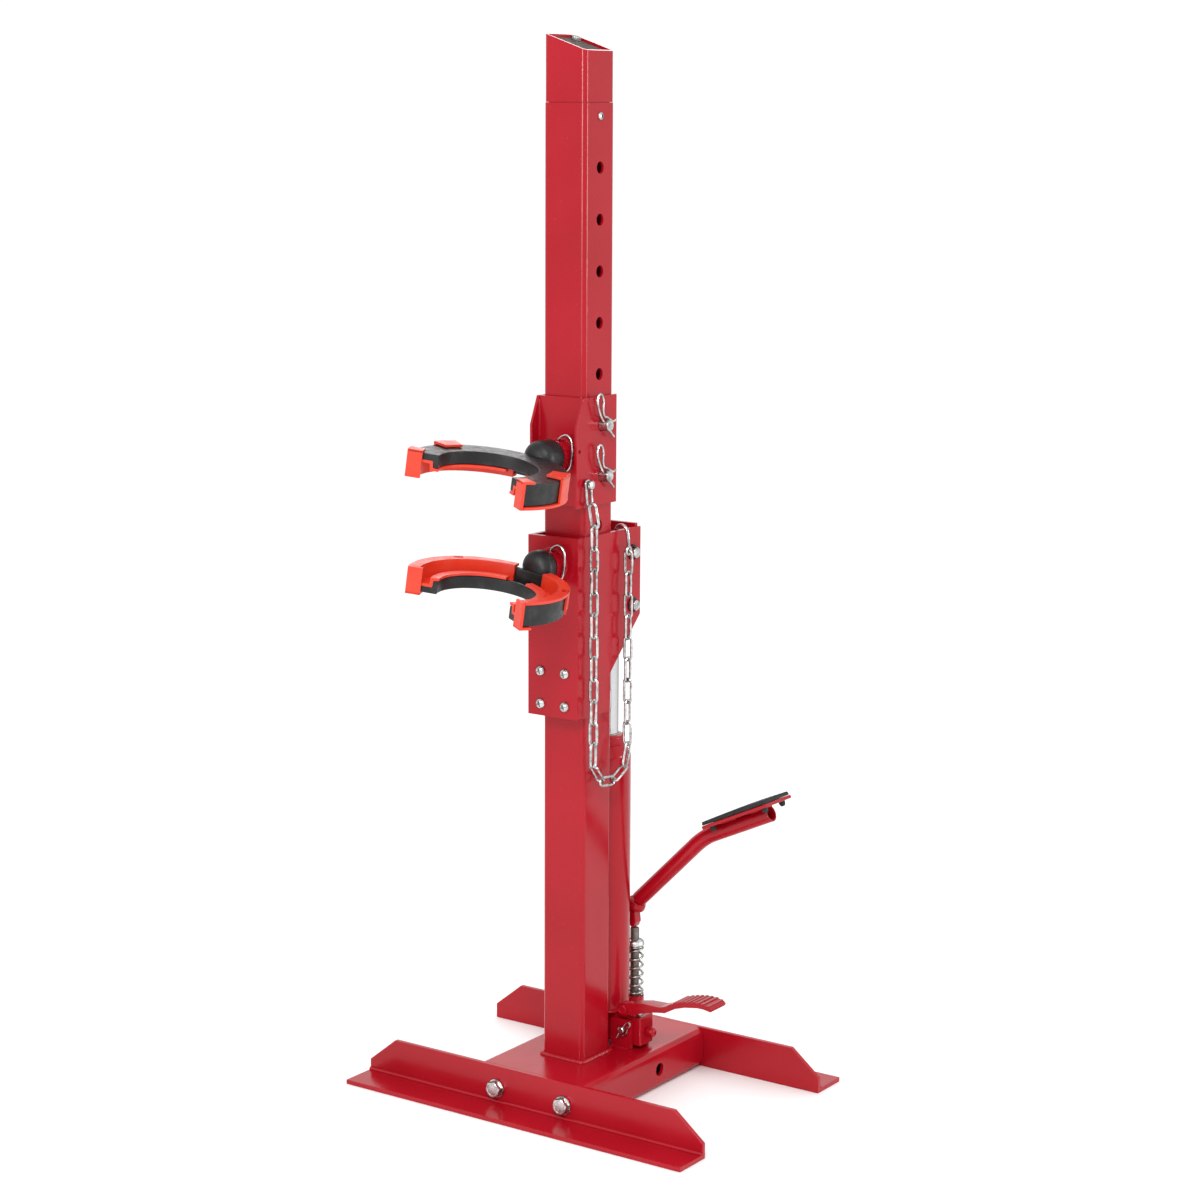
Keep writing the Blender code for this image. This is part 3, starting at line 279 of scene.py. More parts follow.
def bevel(made, edges, width, segments=2, **options):
    bmesh.ops.bevel(
        made, geom=edges, offset=width, segments=segments, profile=0.5, affect="EDGES", **options
    )


def lathe(profile, start=(0, 0, 0), direction=Z_AXIS, sides=64):
    """A (radius, distance) profile turned about a line. It starts and ends on the line, or is
    closed into a ring."""
    made = bmesh.new()
    place = Matrix.Translation(start) @ turn_to(direction)
    rings = []
    for radius, distance in profile:
        count = 1 if radius == 0 else sides
        rings.append([
            made.verts.new(place @ Vector((radius * cos(angle), radius * sin(angle), distance)))
            for angle in (2 * pi * i / sides for i in range(count))
        ])
    pairs = list(zip(rings, rings[1:]))
    if profile[0][0] > 0:
        pairs.append((rings[-1], rings[0]))
    for first, second in pairs:
        if len(first) == len(second) == 1:
            continue
        for i in range(sides):
            corners = [first[i % len(first)], first[(i + 1) % len(first)]]
            corners += [second[(i + 1) % len(second)], second[i % len(second)]]
            made.faces.new(list(dict.fromkeys(corners)))
    return to_mesh(made)


def rod(radius, first, last, start=(0, 0, 0), direction=Z_AXIS, sides=32):
    """A plain round bar between two distances along a line."""
    return lathe([(0, first), (radius, first), (radius, last), (0, last)], start, direction, sides)


def rounded(outline, radius, steps=3):
    """An outline with each corner turned into an arc of about the given radius."""
    found = []
    count = len(outline)
    for i in range(count):
        here = Vector(outline[i])
        before = Vector(outline[i - 1]) - here
        after = Vector(outline[(i + 1) % count]) - here
        angle = before.angle(after)
        if angle > radians(176):
            found.append(tuple(here))
            continue
        reach = min(radius / tan(angle / 2), before.length * 0.45, after.length * 0.45)
        first = here + before.normalized() * reach
        last = here + after.normalized() * reach
        for step in range(steps + 1):
            t = step / steps
            point = first * (1 - t) ** 2 + here * 2 * t * (1 - t) + last * t * t
            found.append(tuple(point))
    return found


def prism(outline, low, high, axis, edge=0.0, segments=2):
    """A flat outline extruded along an axis, with its end edges rounded."""
    made = bmesh.new()
    corners = []
    for first, second in outline:
        point = [first, second]
        point.insert(axis, low)
        corners.append(made.verts.new(point))
    face = made.faces.new(corners)
    moved = bmesh.ops.extrude_face_region(made, geom=[face])
    shift = Vector((0, 0, 0))
    shift[axis] = high - low
    points = [item for item in moved["geom"] if isinstance(item, bmesh.types.BMVert)]
    bmesh.ops.translate(made, verts=points, vec=shift)
    if edge:
        flat = [e for e in made.edges if abs(e.verts[0].co[axis] - e.verts[1].co[axis]) < 1e-7]
        bevel(made, flat, edge, segments)
    return to_mesh(made)


def block(low, high, edge=0.0006, segments=2):
    made = bmesh.new()
    bmesh.ops.create_cube(made, size=1)
    low, high = Vector(low), Vector(high)
    for vertex in made.verts:
        vertex.co = Vector((a + (b - a) * (c + 0.5) for a, b, c in zip(low, high, vertex.co)))
    if edge:
        bevel(made, made.edges[:], edge, segments)
    return to_mesh(made)


def smooth_path(points, per_span):
    """Points on a smooth curve through the given ones."""
    points = [Vector(p) for p in points]
    padded = [2 * points[0] - points[1], *points, 2 * points[-1] - points[-2]]
    found = []
    for i in range(len(points) - 1):
        a, b, c, d = padded[i : i + 4]
        for step in range(per_span):
            t = step / per_span
            bend = (2 * a - 5 * b + 4 * c - d) * t * t + (3 * b - a - 3 * c + d) * t**3
            found.append(0.5 * (2 * b + (c - a) * t + bend))
    found.append(points[-1])
    return found


def sweep_into(made, points, radii, sides=12, closed=False):
    """Adds a round tube along points to a bmesh. radii is one radius or one for each point."""
    points = [Vector(p) for p in points]
    count = len(points)
    if not isinstance(radii, (list, tuple)):
        radii = [radii] * count
    tangents = []
    for i in range(count):
        before = points[i - 1] if i or closed else points[0]
        after = points[(i + 1) % count] if i < count - 1 or closed else points[-1]
        tangents.append((after - before).normalized())
    side = tangents[0].orthogonal().normalized()
    rings = []
    for i in range(count):
        if i:
            side = tangents[i - 1].rotation_difference(tangents[i]) @ side
        up = tangents[i].cross(side)
        turns = [2 * pi * k / sides for k in range(sides)]
        spokes = [(side * cos(turn) + up * sin(turn)) * radii[i] for turn in turns]
        rings.append([made.verts.new(points[i] + spoke) for spoke in spokes])
    pairs = list(zip(rings, rings[1:]))
    if closed:
        pairs.append((rings[-1], rings[0]))
    for first, second in pairs:
        for k in range(sides):
            after = (k + 1) % sides
            made.faces.new((first[k], first[after], second[after], second[k]))
    if not closed:
        made.faces.new(rings[0])
        made.faces.new(rings[-1])


def tube(points, radii, sides=12, round_ends=False):
    made = bmesh.new()
    points = [Vector(p) for p in points]
    if round_ends:
        radius = radii
        first = (points[0] - points[1]).normalized()
        last = (points[-1] - points[-2]).normalized()
        reach = (0.95, 0.75, 0.4)
        start = [points[0] + first * radius * r for r in reach]
        stop = [points[-1] + last * radius * r for r in reversed(reach)]
        widths = [radius * (1 - r * r) ** 0.5 for r in reach]
        radii = widths + [radius] * len(points) + widths[::-1]
        points = start + points + stop
    sweep_into(made, points, radii, sides)
    return to_mesh(made)


def bent_wire(points, radius, sides=12):
    """A round-ended wire along a smooth curve through the given points."""
    return tube(smooth_path(points, 8), radius, sides, True)


def combined(mesh, others, operation="DIFFERENCE"):
    """The mesh with others cut from it, joined to it or crossed with it."""
    host = linked("host", mesh)
    helpers = []
    for other in others:
        helper = linked("helper", other)
        step = host.modifiers.new("step", "BOOLEAN")
        step.operation = operation
        step.solver = "EXACT"
        step.object = helper
        helpers.append(helper)
    bpy.context.view_layer.update()
    graph = bpy.context.evaluated_depsgraph_get()
    made = bpy.data.meshes.new_from_object(host.evaluated_get(graph))
    for item in [host, *helpers]:
        bpy.data.objects.remove(item, do_unlink=True)
    return made


def joined(meshes):
    made = bmesh.new()
    for mesh in meshes:
        made.from_mesh(mesh)
    mesh = bpy.data.meshes.new("joined")
    made.to_mesh(mesh)
    made.free()
    return mesh


def edged(mesh, edge, segments=2, angle=30):
    """The mesh with flat areas merged and its sharp edges rounded."""
    made = bmesh.new()
    made.from_mesh(mesh)
    bmesh.ops.remove_doubles(made, verts=made.verts, dist=0.000002)
    bmesh.ops.dissolve_limit(
        made, angle_limit=radians(0.6), verts=made.verts, edges=made.edges,
        use_dissolve_boundaries=False,
    )
    sharp = [
        e for e in made.edges if len(e.link_faces) == 2 and e.calc_face_angle() > radians(angle)
    ]
    bevel(made, sharp, edge, segments, clamp_overlap=True, loop_slide=True)
    return to_mesh(made)


def tilted(mesh, pivot, angle):
    turn = Matrix.Translation(pivot) @ Matrix.Rotation(angle, 4, "Y")
    mesh.transform(turn @ Matrix.Translation(-Vector(pivot)))
    return mesh


def piece(name, mesh, finish, body, *nodes, crease=32, rigid=True):
    """Adds a visible piece that rides on a body and may stand in for CAD nodes."""
    item = linked(name, mesh)
    mesh.materials.clear()
    mesh.materials.append(FINISH[finish])
    mesh.shade_smooth()
    mesh.set_sharp_from_angle(angle=radians(crease))
    if rigid:
        flat = item.modifiers.new("flat_faces", "WEIGHTED_NORMAL")
        flat.keep_sharp = True
    if body:
        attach(item, body)
    if nodes:
        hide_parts(*nodes)
    return item


def refine(node, finish, body, edge, segments=2, extra=()):
    """Replaces a CAD node with its own shape, edges rounded, with extra meshes added."""
    mesh = edged(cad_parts[node].data.copy(), edge, segments)
    if extra:
        mesh = joined([mesh, *extra])
    return piece(node + "_shell", mesh, finish, body, node)


def weld_bead(points, radius, closed=False, ripple=0.0022):
    """A fillet weld: a tube with the scale-like ripple of its runs, half sunk in a corner."""
    points = [Vector(p) for p in points]
    if closed:
        points.append(points[0])
    dense = []
    for first, second in zip(points, points[1:]):
        steps = max(1, ceil((second - first).length / 0.0006))
        dense += [first.lerp(second, i / steps) for i in range(steps)]
    if not closed:
        dense.append(points[-1])
    radii = []
    travelled = 0.0
    for i, point in enumerate(dense):
        if i:
            travelled += (point - dense[i - 1]).length
        wave = abs(sin(pi * travelled / ripple))
        radii.append(radius * (0.86 + 0.14 * wave + 0.03 * sin(travelled * 900)))
    made = bmesh.new()
    sweep_into(made, dense, radii, 10, closed)
    return to_mesh(made)


def circle(centre, radius, axis, count=64):
    turn = turn_to(axis)
    return [
        Vector(centre) + turn @ Vector((radius * cos(a), radius * sin(a), 0))
        for a in (2 * pi * i / count for i in range(count))
    ]


def rounded_square(half, corner, steps=8):
    found = []
    for sx, sy, start in ((1, 1, 0), (-1, 1, pi / 2), (-1, -1, pi), (1, -1, 3 * pi / 2)):
        for i in range(steps + 1):
            angle = start + pi / 2 * i / steps
            x = sx * (half - corner) + corner * cos(angle)
            found.append((x, sy * (half - corner) + corner * sin(angle)))
    return found


# ---- safety chain

CHAIN_X = 0.0415
CHAIN_LEFT = -0.029
CHAIN_RIGHT = 0.036
CHAIN_BOTTOM = 0.362
HOOK_Z = 0.632
LINK_PITCH = 0.0236
LINK_WIRE = 0.0015
LINK_HALF_WIDTH = 0.0045
CHAIN_BOLT_Z = 0.6885
LINK_COUNT = 25
FIRST_LINK = 0.021


def chain_route():
    """The route of the chain in part.py: down, round the bottom of the loop and up."""
    half = (CHAIN_RIGHT - CHAIN_LEFT) / 2
    middle = (CHAIN_LEFT + CHAIN_RIGHT) / 2
    left_top = CHAIN_BOLT_Z - 0.012
    right_top = HOOK_Z - 0.0200
    turn = CHAIN_BOTTOM + half
    down = [(CHAIN_X - 0.0045, CHAIN_LEFT, left_top)]
    down += [(CHAIN_X, CHAIN_LEFT, left_top + (turn - left_top) * i / 12) for i in range(1, 13)]
    bowl = [
        (CHAIN_X, middle - half * cos(pi * i / 16), turn - half * sin(pi * i / 16))
        for i in range(1, 16)
    ]
    rise = [(CHAIN_X, CHAIN_RIGHT, turn + (right_top - turn) * i / 12) for i in range(13)]
    return [Vector(p) for p in down + bowl + rise]


def along(route, distance):
    """The point and direction at a distance along a route."""
    for first, second in zip(route, route[1:]):
        step = (second - first).length
        if distance <= step:
            return first.lerp(second, distance / step), (second - first).normalized()
        distance -= step
    direction = (route[-1] - route[-2]).normalized()
    return route[-1] + direction * distance, direction


def add_link(made, centre, direction, side, half_width=LINK_HALF_WIDTH, wire=LINK_WIRE):
    """An oval link: two straight sides and two round ends, with the weld's swelling."""
    straight = LINK_PITCH / 2 + LINK_WIRE - half_width
    side = (side - direction * side.dot(direction)).normalized()
    points = []
    radii = []
    for end, sign in ((0, 1), (1, -1)):
        for i in range(13):
            angle = pi * i / 12
            points.append(
                centre
                + direction * sign * (straight + half_width * sin(angle))
                + side * sign * half_width * cos(angle)
            )
            radii.append(wire)
        for t in (0.35, 0.5, 0.65):
            points.append(centre - side * sign * half_width + direction * sign * straight * (1 - 2 * t))
            radii.append(wire * (1.14 if t == 0.5 and end else 1.0))
    sweep_into(made, points, radii, 10, True)


def make_chain():
    route = chain_route()
    made = bmesh.new()
    bolt_link = Vector((0.0342, CHAIN_LEFT, CHAIN_BOLT_Z + 0.0030 - LINK_PITCH / 2))
    add_link(made, bolt_link, Vector((0.10, 0, -1)).normalized(), Y_AXIS)
    for i in range(LINK_COUNT):
        centre, direction = along(route, FIRST_LINK + LINK_PITCH * i)
        side = X_AXIS if i % 2 == 0 else direction.cross(X_AXIS)
        add_link(made, centre, direction, side)
    nodes = ("chain_upper", "chain_lower")
    item = piece("chain_links", to_mesh(made), "zinc", None, *nodes, rigid=False)
    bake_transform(item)


make_chain()

# ---- fasteners


def hex_bolt_mesh(seat, direction, across, head, shank, length, washer=0.0, washer_thick=0.0016):
    """A hexagon-head bolt with chamfered corners, a shallow dish on its head and a washer."""
    seat, direction = Vector(seat), Vector(direction).normalized()
    turn = Matrix.Translation(seat) @ turn_to(direction)
    corner = across / 2 / cos(pi / 6)
    rise = washer_thick if washer else 0.0
    turns = [pi / 3 * i + 0.25 for i in range(6)]
    body = prism([(corner * cos(a), corner * sin(a)) for a in turns], rise, rise + head, 2)
    flat = across / 2 * 0.95
    crown = lathe([
        (0, rise + head - 0.0003), (flat * 0.80, rise + head - 0.0003),
        (flat * 0.84, rise + head), (flat, rise + head),
        (corner, rise + head - (corner - flat) * 0.58),
        (corner * 1.05, rise + head - 0.0022), (corner * 1.05, rise), (0, rise),
    ])
    body = combined(body, [crown], "INTERSECT")
    parts = [edged(body, 0.00015, 1, 25), rod(shank, rise + 0.0002, -length)]
    if washer:
        parts.append(lathe([
            (shank + 0.0002, washer_thick), (washer - 0.0004, washer_thick),
            (washer - 0.0001, washer_thick - 0.0001), (washer, washer_thick - 0.0004),
            (washer, 0.0003), (washer - 0.0003, 0.0), (shank + 0.0002, 0.0),
        ]))
    mesh = joined(parts)
    mesh.transform(turn)
    return mesh


def recess_bar(angle, reach, wide, floor, top):
    """A cutter for one bar of a cross recess, or for the slope between two bars."""
    bar = block((-reach, -wide, floor), (reach, wide, top), 0)
    bar.transform(Matrix.Rotation(0.35 + angle, 4, "Z"))
    return bar


def cross_screw_mesh(seat, direction, radius, head, shank, length, arm=0.60):
    """A pan-head screw with a cross recess."""
    dome = [
        (0, head), (radius * 0.30, head * 0.99), (radius * 0.55, head * 0.93),
        (radius * 0.75, head * 0.80), (radius * 0.90, head * 0.55),
        (radius * 0.98, head * 0.28), (radius, head * 0.08), (radius * 0.97, 0),
        (shank, 0), (shank, -length), (0, -length),
    ]
    mesh = lathe(dome, sides=40)
    reach, wide = radius * arm, radius * 0.13
    floor, top = head * 0.18, head * 2
    cutters = [recess_bar(angle, reach, wide, floor, top) for angle in (0, pi / 2)]
    core = [(0, floor), (radius * 0.20, floor), (radius * 0.30, top), (0, top)]
    cutters.append(lathe(core, sides=16))
    for angle in (pi / 4, 3 * pi / 4):
        cutters.append(recess_bar(angle, reach * 0.5, wide * 0.4, floor * 1.9, top))
    mesh = combined(mesh, cutters)
    mesh.transform(Matrix.Translation(seat) @ turn_to(direction))
    return mesh


# ---- base

BEAM_TOP = 0.046
COLUMN_HALF = 0.027
COLUMN_EDGE = 0.0055
CLEVIS_EDGES = (0.0392, 0.0438, 0.0712, 0.0758)
FOOT_TOE = 0.043
FOOT_PLATE = 0.005
FOOT_BOLT_LENGTH = 0.016


def make_base():
    seam = BEAM_TOP + 0.0006
    ring = [(x, y, seam) for x, y in rounded_square(COLUMN_HALF + 0.0012, 0.005, 4)]
    beads = [weld_bead(ring, 0.0030, True)]
    seam = BEAM_TOP + 0.0003
    for y in CLEVIS_EDGES:
        beads.append(weld_bead([(0.0215, y, seam), (0.0445, y, seam)], 0.0018))
    refine("base_beam", "red_paint", "stand", 0.0006, extra=beads)
    for end, outward in (("front", -1), ("rear", 1)):
        low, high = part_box(end + "_foot")
        face = low.y + FOOT_TOE if outward < 0 else high.y - FOOT_TOE
        y, z = face + outward * 0.0008, FOOT_PLATE + 0.0008
        fillet = tube([(low.x + 0.0008, y, z), (high.x - 0.0008, y, z)], 0.0024, 12)
        refine(end + "_foot", "red_paint", "stand", 0.0010, 3, extra=[fillet])
        for side in ("left", "right"):
            name = f"{end}_bolt_{side}"
            low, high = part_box(name)
            face = high.y - FOOT_BOLT_LENGTH if outward < 0 else low.y + FOOT_BOLT_LENGTH
            seat = ((low.x + high.x) / 2, face, (low.z + high.z) / 2)
            mesh = hex_bolt_mesh(seat, (0, outward, 0), 0.0165, 0.0064, 0.005, 0.0155, 0.0103)
            piece(name + "_detail", mesh, "zinc", "stand", name)


make_base()

# ---- column and cap

HOLE_TOP = 1.019
HOLE_PITCH = 0.054
HOLE_COUNT = 8
HOLE_RADIUS = 0.0064
TUBE_WALL = 0.003
CAP_SCREW_Z = 1.072
CAP_SCREW_HOLE = 0.0028
CAP_FALL = 0.018
CAP_BOLT_X = -0.0165
CAP_BOLT_Y = 0.0165


def make_column():
    low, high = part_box("column")
    outer = prism(rounded_square(high.x, COLUMN_EDGE), low.z, high.z, 2, 0.0005)
    inner = prism(rounded_square(high.x - TUBE_WALL, 0.0025, 4), low.z - 0.01, high.z + 0.01, 2)
    holes = [(HOLE_TOP - i * HOLE_PITCH, HOLE_RADIUS) for i in range(HOLE_COUNT)]
    holes.append((CAP_SCREW_Z, CAP_SCREW_HOLE))
    cutters = [rod(radius, -0.06, 0.06, (0, 0, z), X_AXIS) for z, radius in holes]
    mesh = combined(outer, [inner, *cutters])
    piece("column_tube", mesh, "red_paint", "stand", "column")
    for side, sign in (("left", -1), ("right", 1)):
        seat = (sign * (high.x + 0.0003), 0, CAP_SCREW_Z)
        mesh = cross_screw_mesh(seat, (sign, 0, 0), 0.0042, 0.0022, 0.0024, 0.008, 0.5)
        piece("cap_screw_detail_" + side, mesh, "zinc", "stand", "cap_screw_" + side)


def make_cap():
    refine("column_cap", "red_paint", "stand", 0.0004)
    refine("cap_plate", "grey_steel", "stand", 0.0004)
    low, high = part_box("column_cap")
    wide = high.x - low.x
    z = high.z - CAP_FALL * (CAP_BOLT_X - low.x) / wide - 0.0027
    mesh = hex_bolt_mesh((CAP_BOLT_X, CAP_BOLT_Y, z), (CAP_FALL, 0, wide), 0.010, 0.0035, 0.003, 0.008)
    piece("cap_bolt_detail", mesh, "zinc", "stand", "cap_bolt")


make_column()
make_cap()

# ---- upper bracket

BRACKET_FACE = -0.0326
PIN_ZS = (0.749, 0.695)
PIN_RADIUS = 0.006
CLIP_X = 0.0365
CLIP_WIRE = 0.0013
UPPER_NECK_Z = 0.718
LOWER_NECK_Z = 0.602
BUSH_RADIUS = 0.0176


def pin_clip_points(z):
    shape = [
        (0.0140, -0.0130), (0.0070, -0.0065), (0.0, 0.0),
        (-0.0080, 0.0075), (-0.0135, 0.0165), (-0.0165, 0.0260),
        (-0.0140, 0.0335), (-0.0085, 0.0330), (-0.0055, 0.0260),
        (-0.0062, 0.0180), (-0.0040, 0.0105), (0.0020, 0.0082),
        (0.0070, 0.0058), (0.0120, 0.0035), (0.0175, 0.0045),
    ]
    return [(CLIP_X, y, z + up) for y, up in shape]


def pin_mesh(low_x, high_x, y, z, radius, head_radius, head_face):
    """A round pin along X with a flat head on its left and a chamfered right end."""
    profile = [
        (0, high_x), (radius - 0.0012, high_x), (radius - 0.0002, high_x - 0.0009),
        (radius, high_x - 0.0014), (radius, head_face), (head_radius - 0.0004, head_face),
        (head_radius, head_face - 0.0004), (head_radius, low_x + 0.0008),
        (head_radius - 0.0008, low_x), (0, low_x),
    ]
    return lathe(profile, (0, y, z), X_AXIS, 48)


def make_upper_bracket():
    low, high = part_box("upper_bracket")
    ring = circle((0, BRACKET_FACE + 0.0002, UPPER_NECK_Z), BUSH_RADIUS, Y_AXIS)
    beads = [weld_bead(ring, 0.0022, True)]
    for x in (-0.0272, 0.0272):
        y = BRACKET_FACE - 0.0002
        beads.append(weld_bead([(x, y, low.z + 0.002), (x, y, high.z - 0.004)], 0.0018))
    refine("upper_bracket", "red_paint", "stand", 0.0008, extra=beads)
    for place, z in zip(("top", "bottom"), PIN_ZS):
        node = "bracket_pin_" + place
        low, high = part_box(node)
        mesh = pin_mesh(low.x, high.x, 0, z, PIN_RADIUS, 0.009, -0.0307)
        leg = Vector((0, 0.0140, -0.0130)).normalized() * 0.012
        centre = Vector((CLIP_X, 0, z))
        hole = tube([centre - leg, centre + leg], CLIP_WIRE + 0.0005, 16)
        piece("bracket_pin_detail_" + place, combined(mesh, [hole]), "zinc", "stand", node)
        clip = bent_wire(pin_clip_points(z), CLIP_WIRE)
        piece("bracket_clip_wire_" + place, clip, "zinc", "stand", "bracket_clip_" + place)
    low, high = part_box("chain_bolt")
    seat = low.x + 0.0026
    profile = [
        (0, 0.0095), (0.0030, 0.0094), (0.0044, 0.0088),
        (0.0051, 0.0077), (0.0052, 0.0064), (0.0048, 0.0060),
        (0.0030, 0.0060), (0.0030, -0.0026), (0, -0.0026),
    ]
    mesh = lathe(profile, (seat, CHAIN_LEFT, CHAIN_BOLT_Z), X_AXIS, 40)
    piece("chain_bolt_detail", mesh, "zinc", "stand", "chain_bolt")


make_upper_bracket()

# ---- yokes

YOKE_TILT = radians(9)
YOKE_Y = -0.160
YOKE_OUTER = 0.082
YOKE_INNER = 0.052
YOKE_ARM = 116
LINER_START = 14.5
NECK_RADIUS = 0.019


def yoke_section():
    rim, floor, base, lip = -0.003, -0.020, -0.026, -0.012
    return [
        (YOKE_INNER, base), (YOKE_OUTER, base), (YOKE_OUTER, rim),
        (YOKE_OUTER - 0.006, rim), (YOKE_OUTER - 0.006, floor), (YOKE_INNER + 0.005, floor),
        (YOKE_INNER + 0.005, lip), (YOKE_INNER, lip),
    ]


def liner_section():
    inner = YOKE_INNER + 0.005 + 0.0004
    outer = YOKE_OUTER - 0.006 - 0.0004
    floor, rim, lip, thick = -0.0196, -0.0026, -0.0116, 0.003
    return [
        (inner, floor), (outer, floor), (outer, rim),
        (YOKE_OUTER + 0.003, rim), (YOKE_OUTER + 0.003, rim + thick),
        (outer - thick, rim + thick), (outer - thick, floor + thick),
        (inner + thick, floor + thick), (inner + thick, lip + thick),
        (YOKE_INNER - 0.001, lip + thick), (YOKE_INNER - 0.001, lip), (inner, lip),
    ]


def arc_mesh(section, first, last, centre, face, steps, edge):
    """A section swept about a vertical line from one angle to another, in degrees from +Y."""
    made = bmesh.new()
    rings = []
    for i in range(steps + 1):
        angle = radians(first + (last - first) * i / steps)
        rings.append([
            made.verts.new(
                Vector(centre) + Vector((radius * sin(angle), radius * cos(angle), face * height))
            )
            for radius, height in section
        ])
    count = len(section)
    for one, two in zip(rings, rings[1:]):
        for k in range(count):
            after = (k + 1) % count
            made.faces.new((one[k], one[after], two[after], two[k]))
    ends = [made.faces.new(rings[0]), made.faces.new(rings[-1])]
    bevel(made, [e for face_end in ends for e in face_end.edges], edge)
    return to_mesh(made)


def arc_bar(radii, heights, first, last, centre, face, steps):
    """A small curved bar between two radii and two heights, part of a liner's fittings."""
    (inner, outer), (low, high) = radii, heights
    section = [(inner, low), (outer, low), (outer, high), (inner, high)]
    return arc_mesh(rounded(section, 0.0005, 2), first, last, centre, face, steps, 0.0003)


def make_liner(which, side, centre, face, pivot):
    """One liner: its channel, the cap on the arm's end, and the clips round the arm."""
    sign = 1 if side == "right" else -1
    section = rounded(liner_section(), 0.0008, 2)
    main = arc_mesh(section, sign * LINER_START, sign * YOKE_ARM, centre, face, 48, 0.0004)
    if which == "lower":
        angle = radians(sign * 61)
        middle = Vector(centre) + Vector((sin(angle), cos(angle), 0)) * 0.0795
        slot = block((-0.0055, -0.0022, -0.004), (0.0055, 0.0022, 0.004), 0)
        slot.transform(Matrix.Translation(middle) @ Matrix.Rotation(-angle, 4, "Z"))
        main = combined(main, [slot])
    outer = YOKE_OUTER + 0.0004
    cap_radii = (YOKE_OUTER - 0.0130, outer + 0.0024)
    cap_end = YOKE_ARM + 2.6
    bars = [
        (cap_radii, (-0.0285, 0.0004), YOKE_ARM + 0.3, cap_end, 2),
        (cap_radii, (-0.0290, -0.0264), YOKE_ARM - 7, cap_end, 4),
    ]
    if which == "upper":
        bars += [
            ((outer, outer + 0.0026), (-0.0290, 0.0004), 62, 80, 8),
            ((YOKE_OUTER - 0.0160, outer + 0.0026), (-0.0294, -0.0266), 62, 80, 8),
        ]
    else:
        bars += [
            ((outer, outer + 0.0026), (-0.0190, 0.0004), 56, 67, 8),
            ((outer, outer + 0.0024), (-0.0300, 0.0004), 45, 49, 3),
        ]
    parts = [main]
    for radii, heights, first, last, steps in bars:
        parts.append(arc_bar(radii, heights, sign * first, sign * last, centre, face, steps))
    mesh = tilted(joined(parts), pivot, YOKE_TILT)
    node = f"{which}_liner_{side}"
    piece(node + "_moulding", mesh, "orange_plastic", which + "_yoke", node)


def make_yoke(which, neck_z, face, mouth, bush_face, shank_end):
    pivot = (0, bush_face, neck_z)
    centre = (0, YOKE_Y, neck_z + mouth)
    section = rounded(yoke_section(), 0.0016, 3)
    ring = arc_mesh(section, -YOKE_ARM, YOKE_ARM, centre, face, 112, 0.0008)
    shoulder = 0.0153 - bush_face
    tip = -(YOKE_Y + YOKE_OUTER) + 0.0035
    profile = [
        (0, -shank_end), (0.0092, -shank_end), (0.0100, -shank_end + 0.0008),
        (0.0100, shoulder), (0.0146, shoulder), (0.0156, shoulder + 0.0006),
        (0.0176, shoulder + 0.0022), (0.0188, shoulder + 0.0042),
        (NECK_RADIUS, shoulder + 0.0062),
    ]
    dome = 0.013 if which == "upper" else 0.008
    start = max(tip - dome, shoulder + 0.0064)
    for i in range(11):
        angle = pi / 2 * i / 10
        radius = NECK_RADIUS * cos(angle) ** 0.7 if i < 10 else 0
        profile.append((radius, start + (tip - start) * sin(angle)))
    neck = lathe(profile, (0, 0, neck_z), -Y_AXIS, 64)
    mesh = tilted(joined([ring, neck]), pivot, YOKE_TILT)
    piece(which + "_yoke_casting", mesh, "black_cast", which + "_yoke", which + "_yoke")
    for side in ("left", "right"):
        make_liner(which, side, centre, face, pivot)
    shape = [
        (0, -0.0210), (0, -0.0100), (0, 0.0),
        (0, 0.0130), (0.0020, 0.0200), (0.0100, 0.0245),
        (0.0170, 0.0200), (0.0196, 0.0100), (0.0200, 0.0),
        (0.0190, -0.0090), (0.0140, -0.0150), (0.0120, -0.0200),
    ]
    points = [(x, bush_face - 0.008, neck_z + up) for x, up in shape]
    clip = tilted(bent_wire(points, CLIP_WIRE), pivot, YOKE_TILT)
    piece(which + "_yoke_clip_wire", clip, "zinc", which + "_yoke", which + "_yoke_clip")


CARRIAGE_FACE = -0.046

make_yoke("upper", UPPER_NECK_Z, -1, -0.0220, BRACKET_FACE, -0.0279)
make_yoke("lower", LOWER_NECK_Z, 1, 0.0004, CARRIAGE_FACE, -0.036)

# ---- carriage


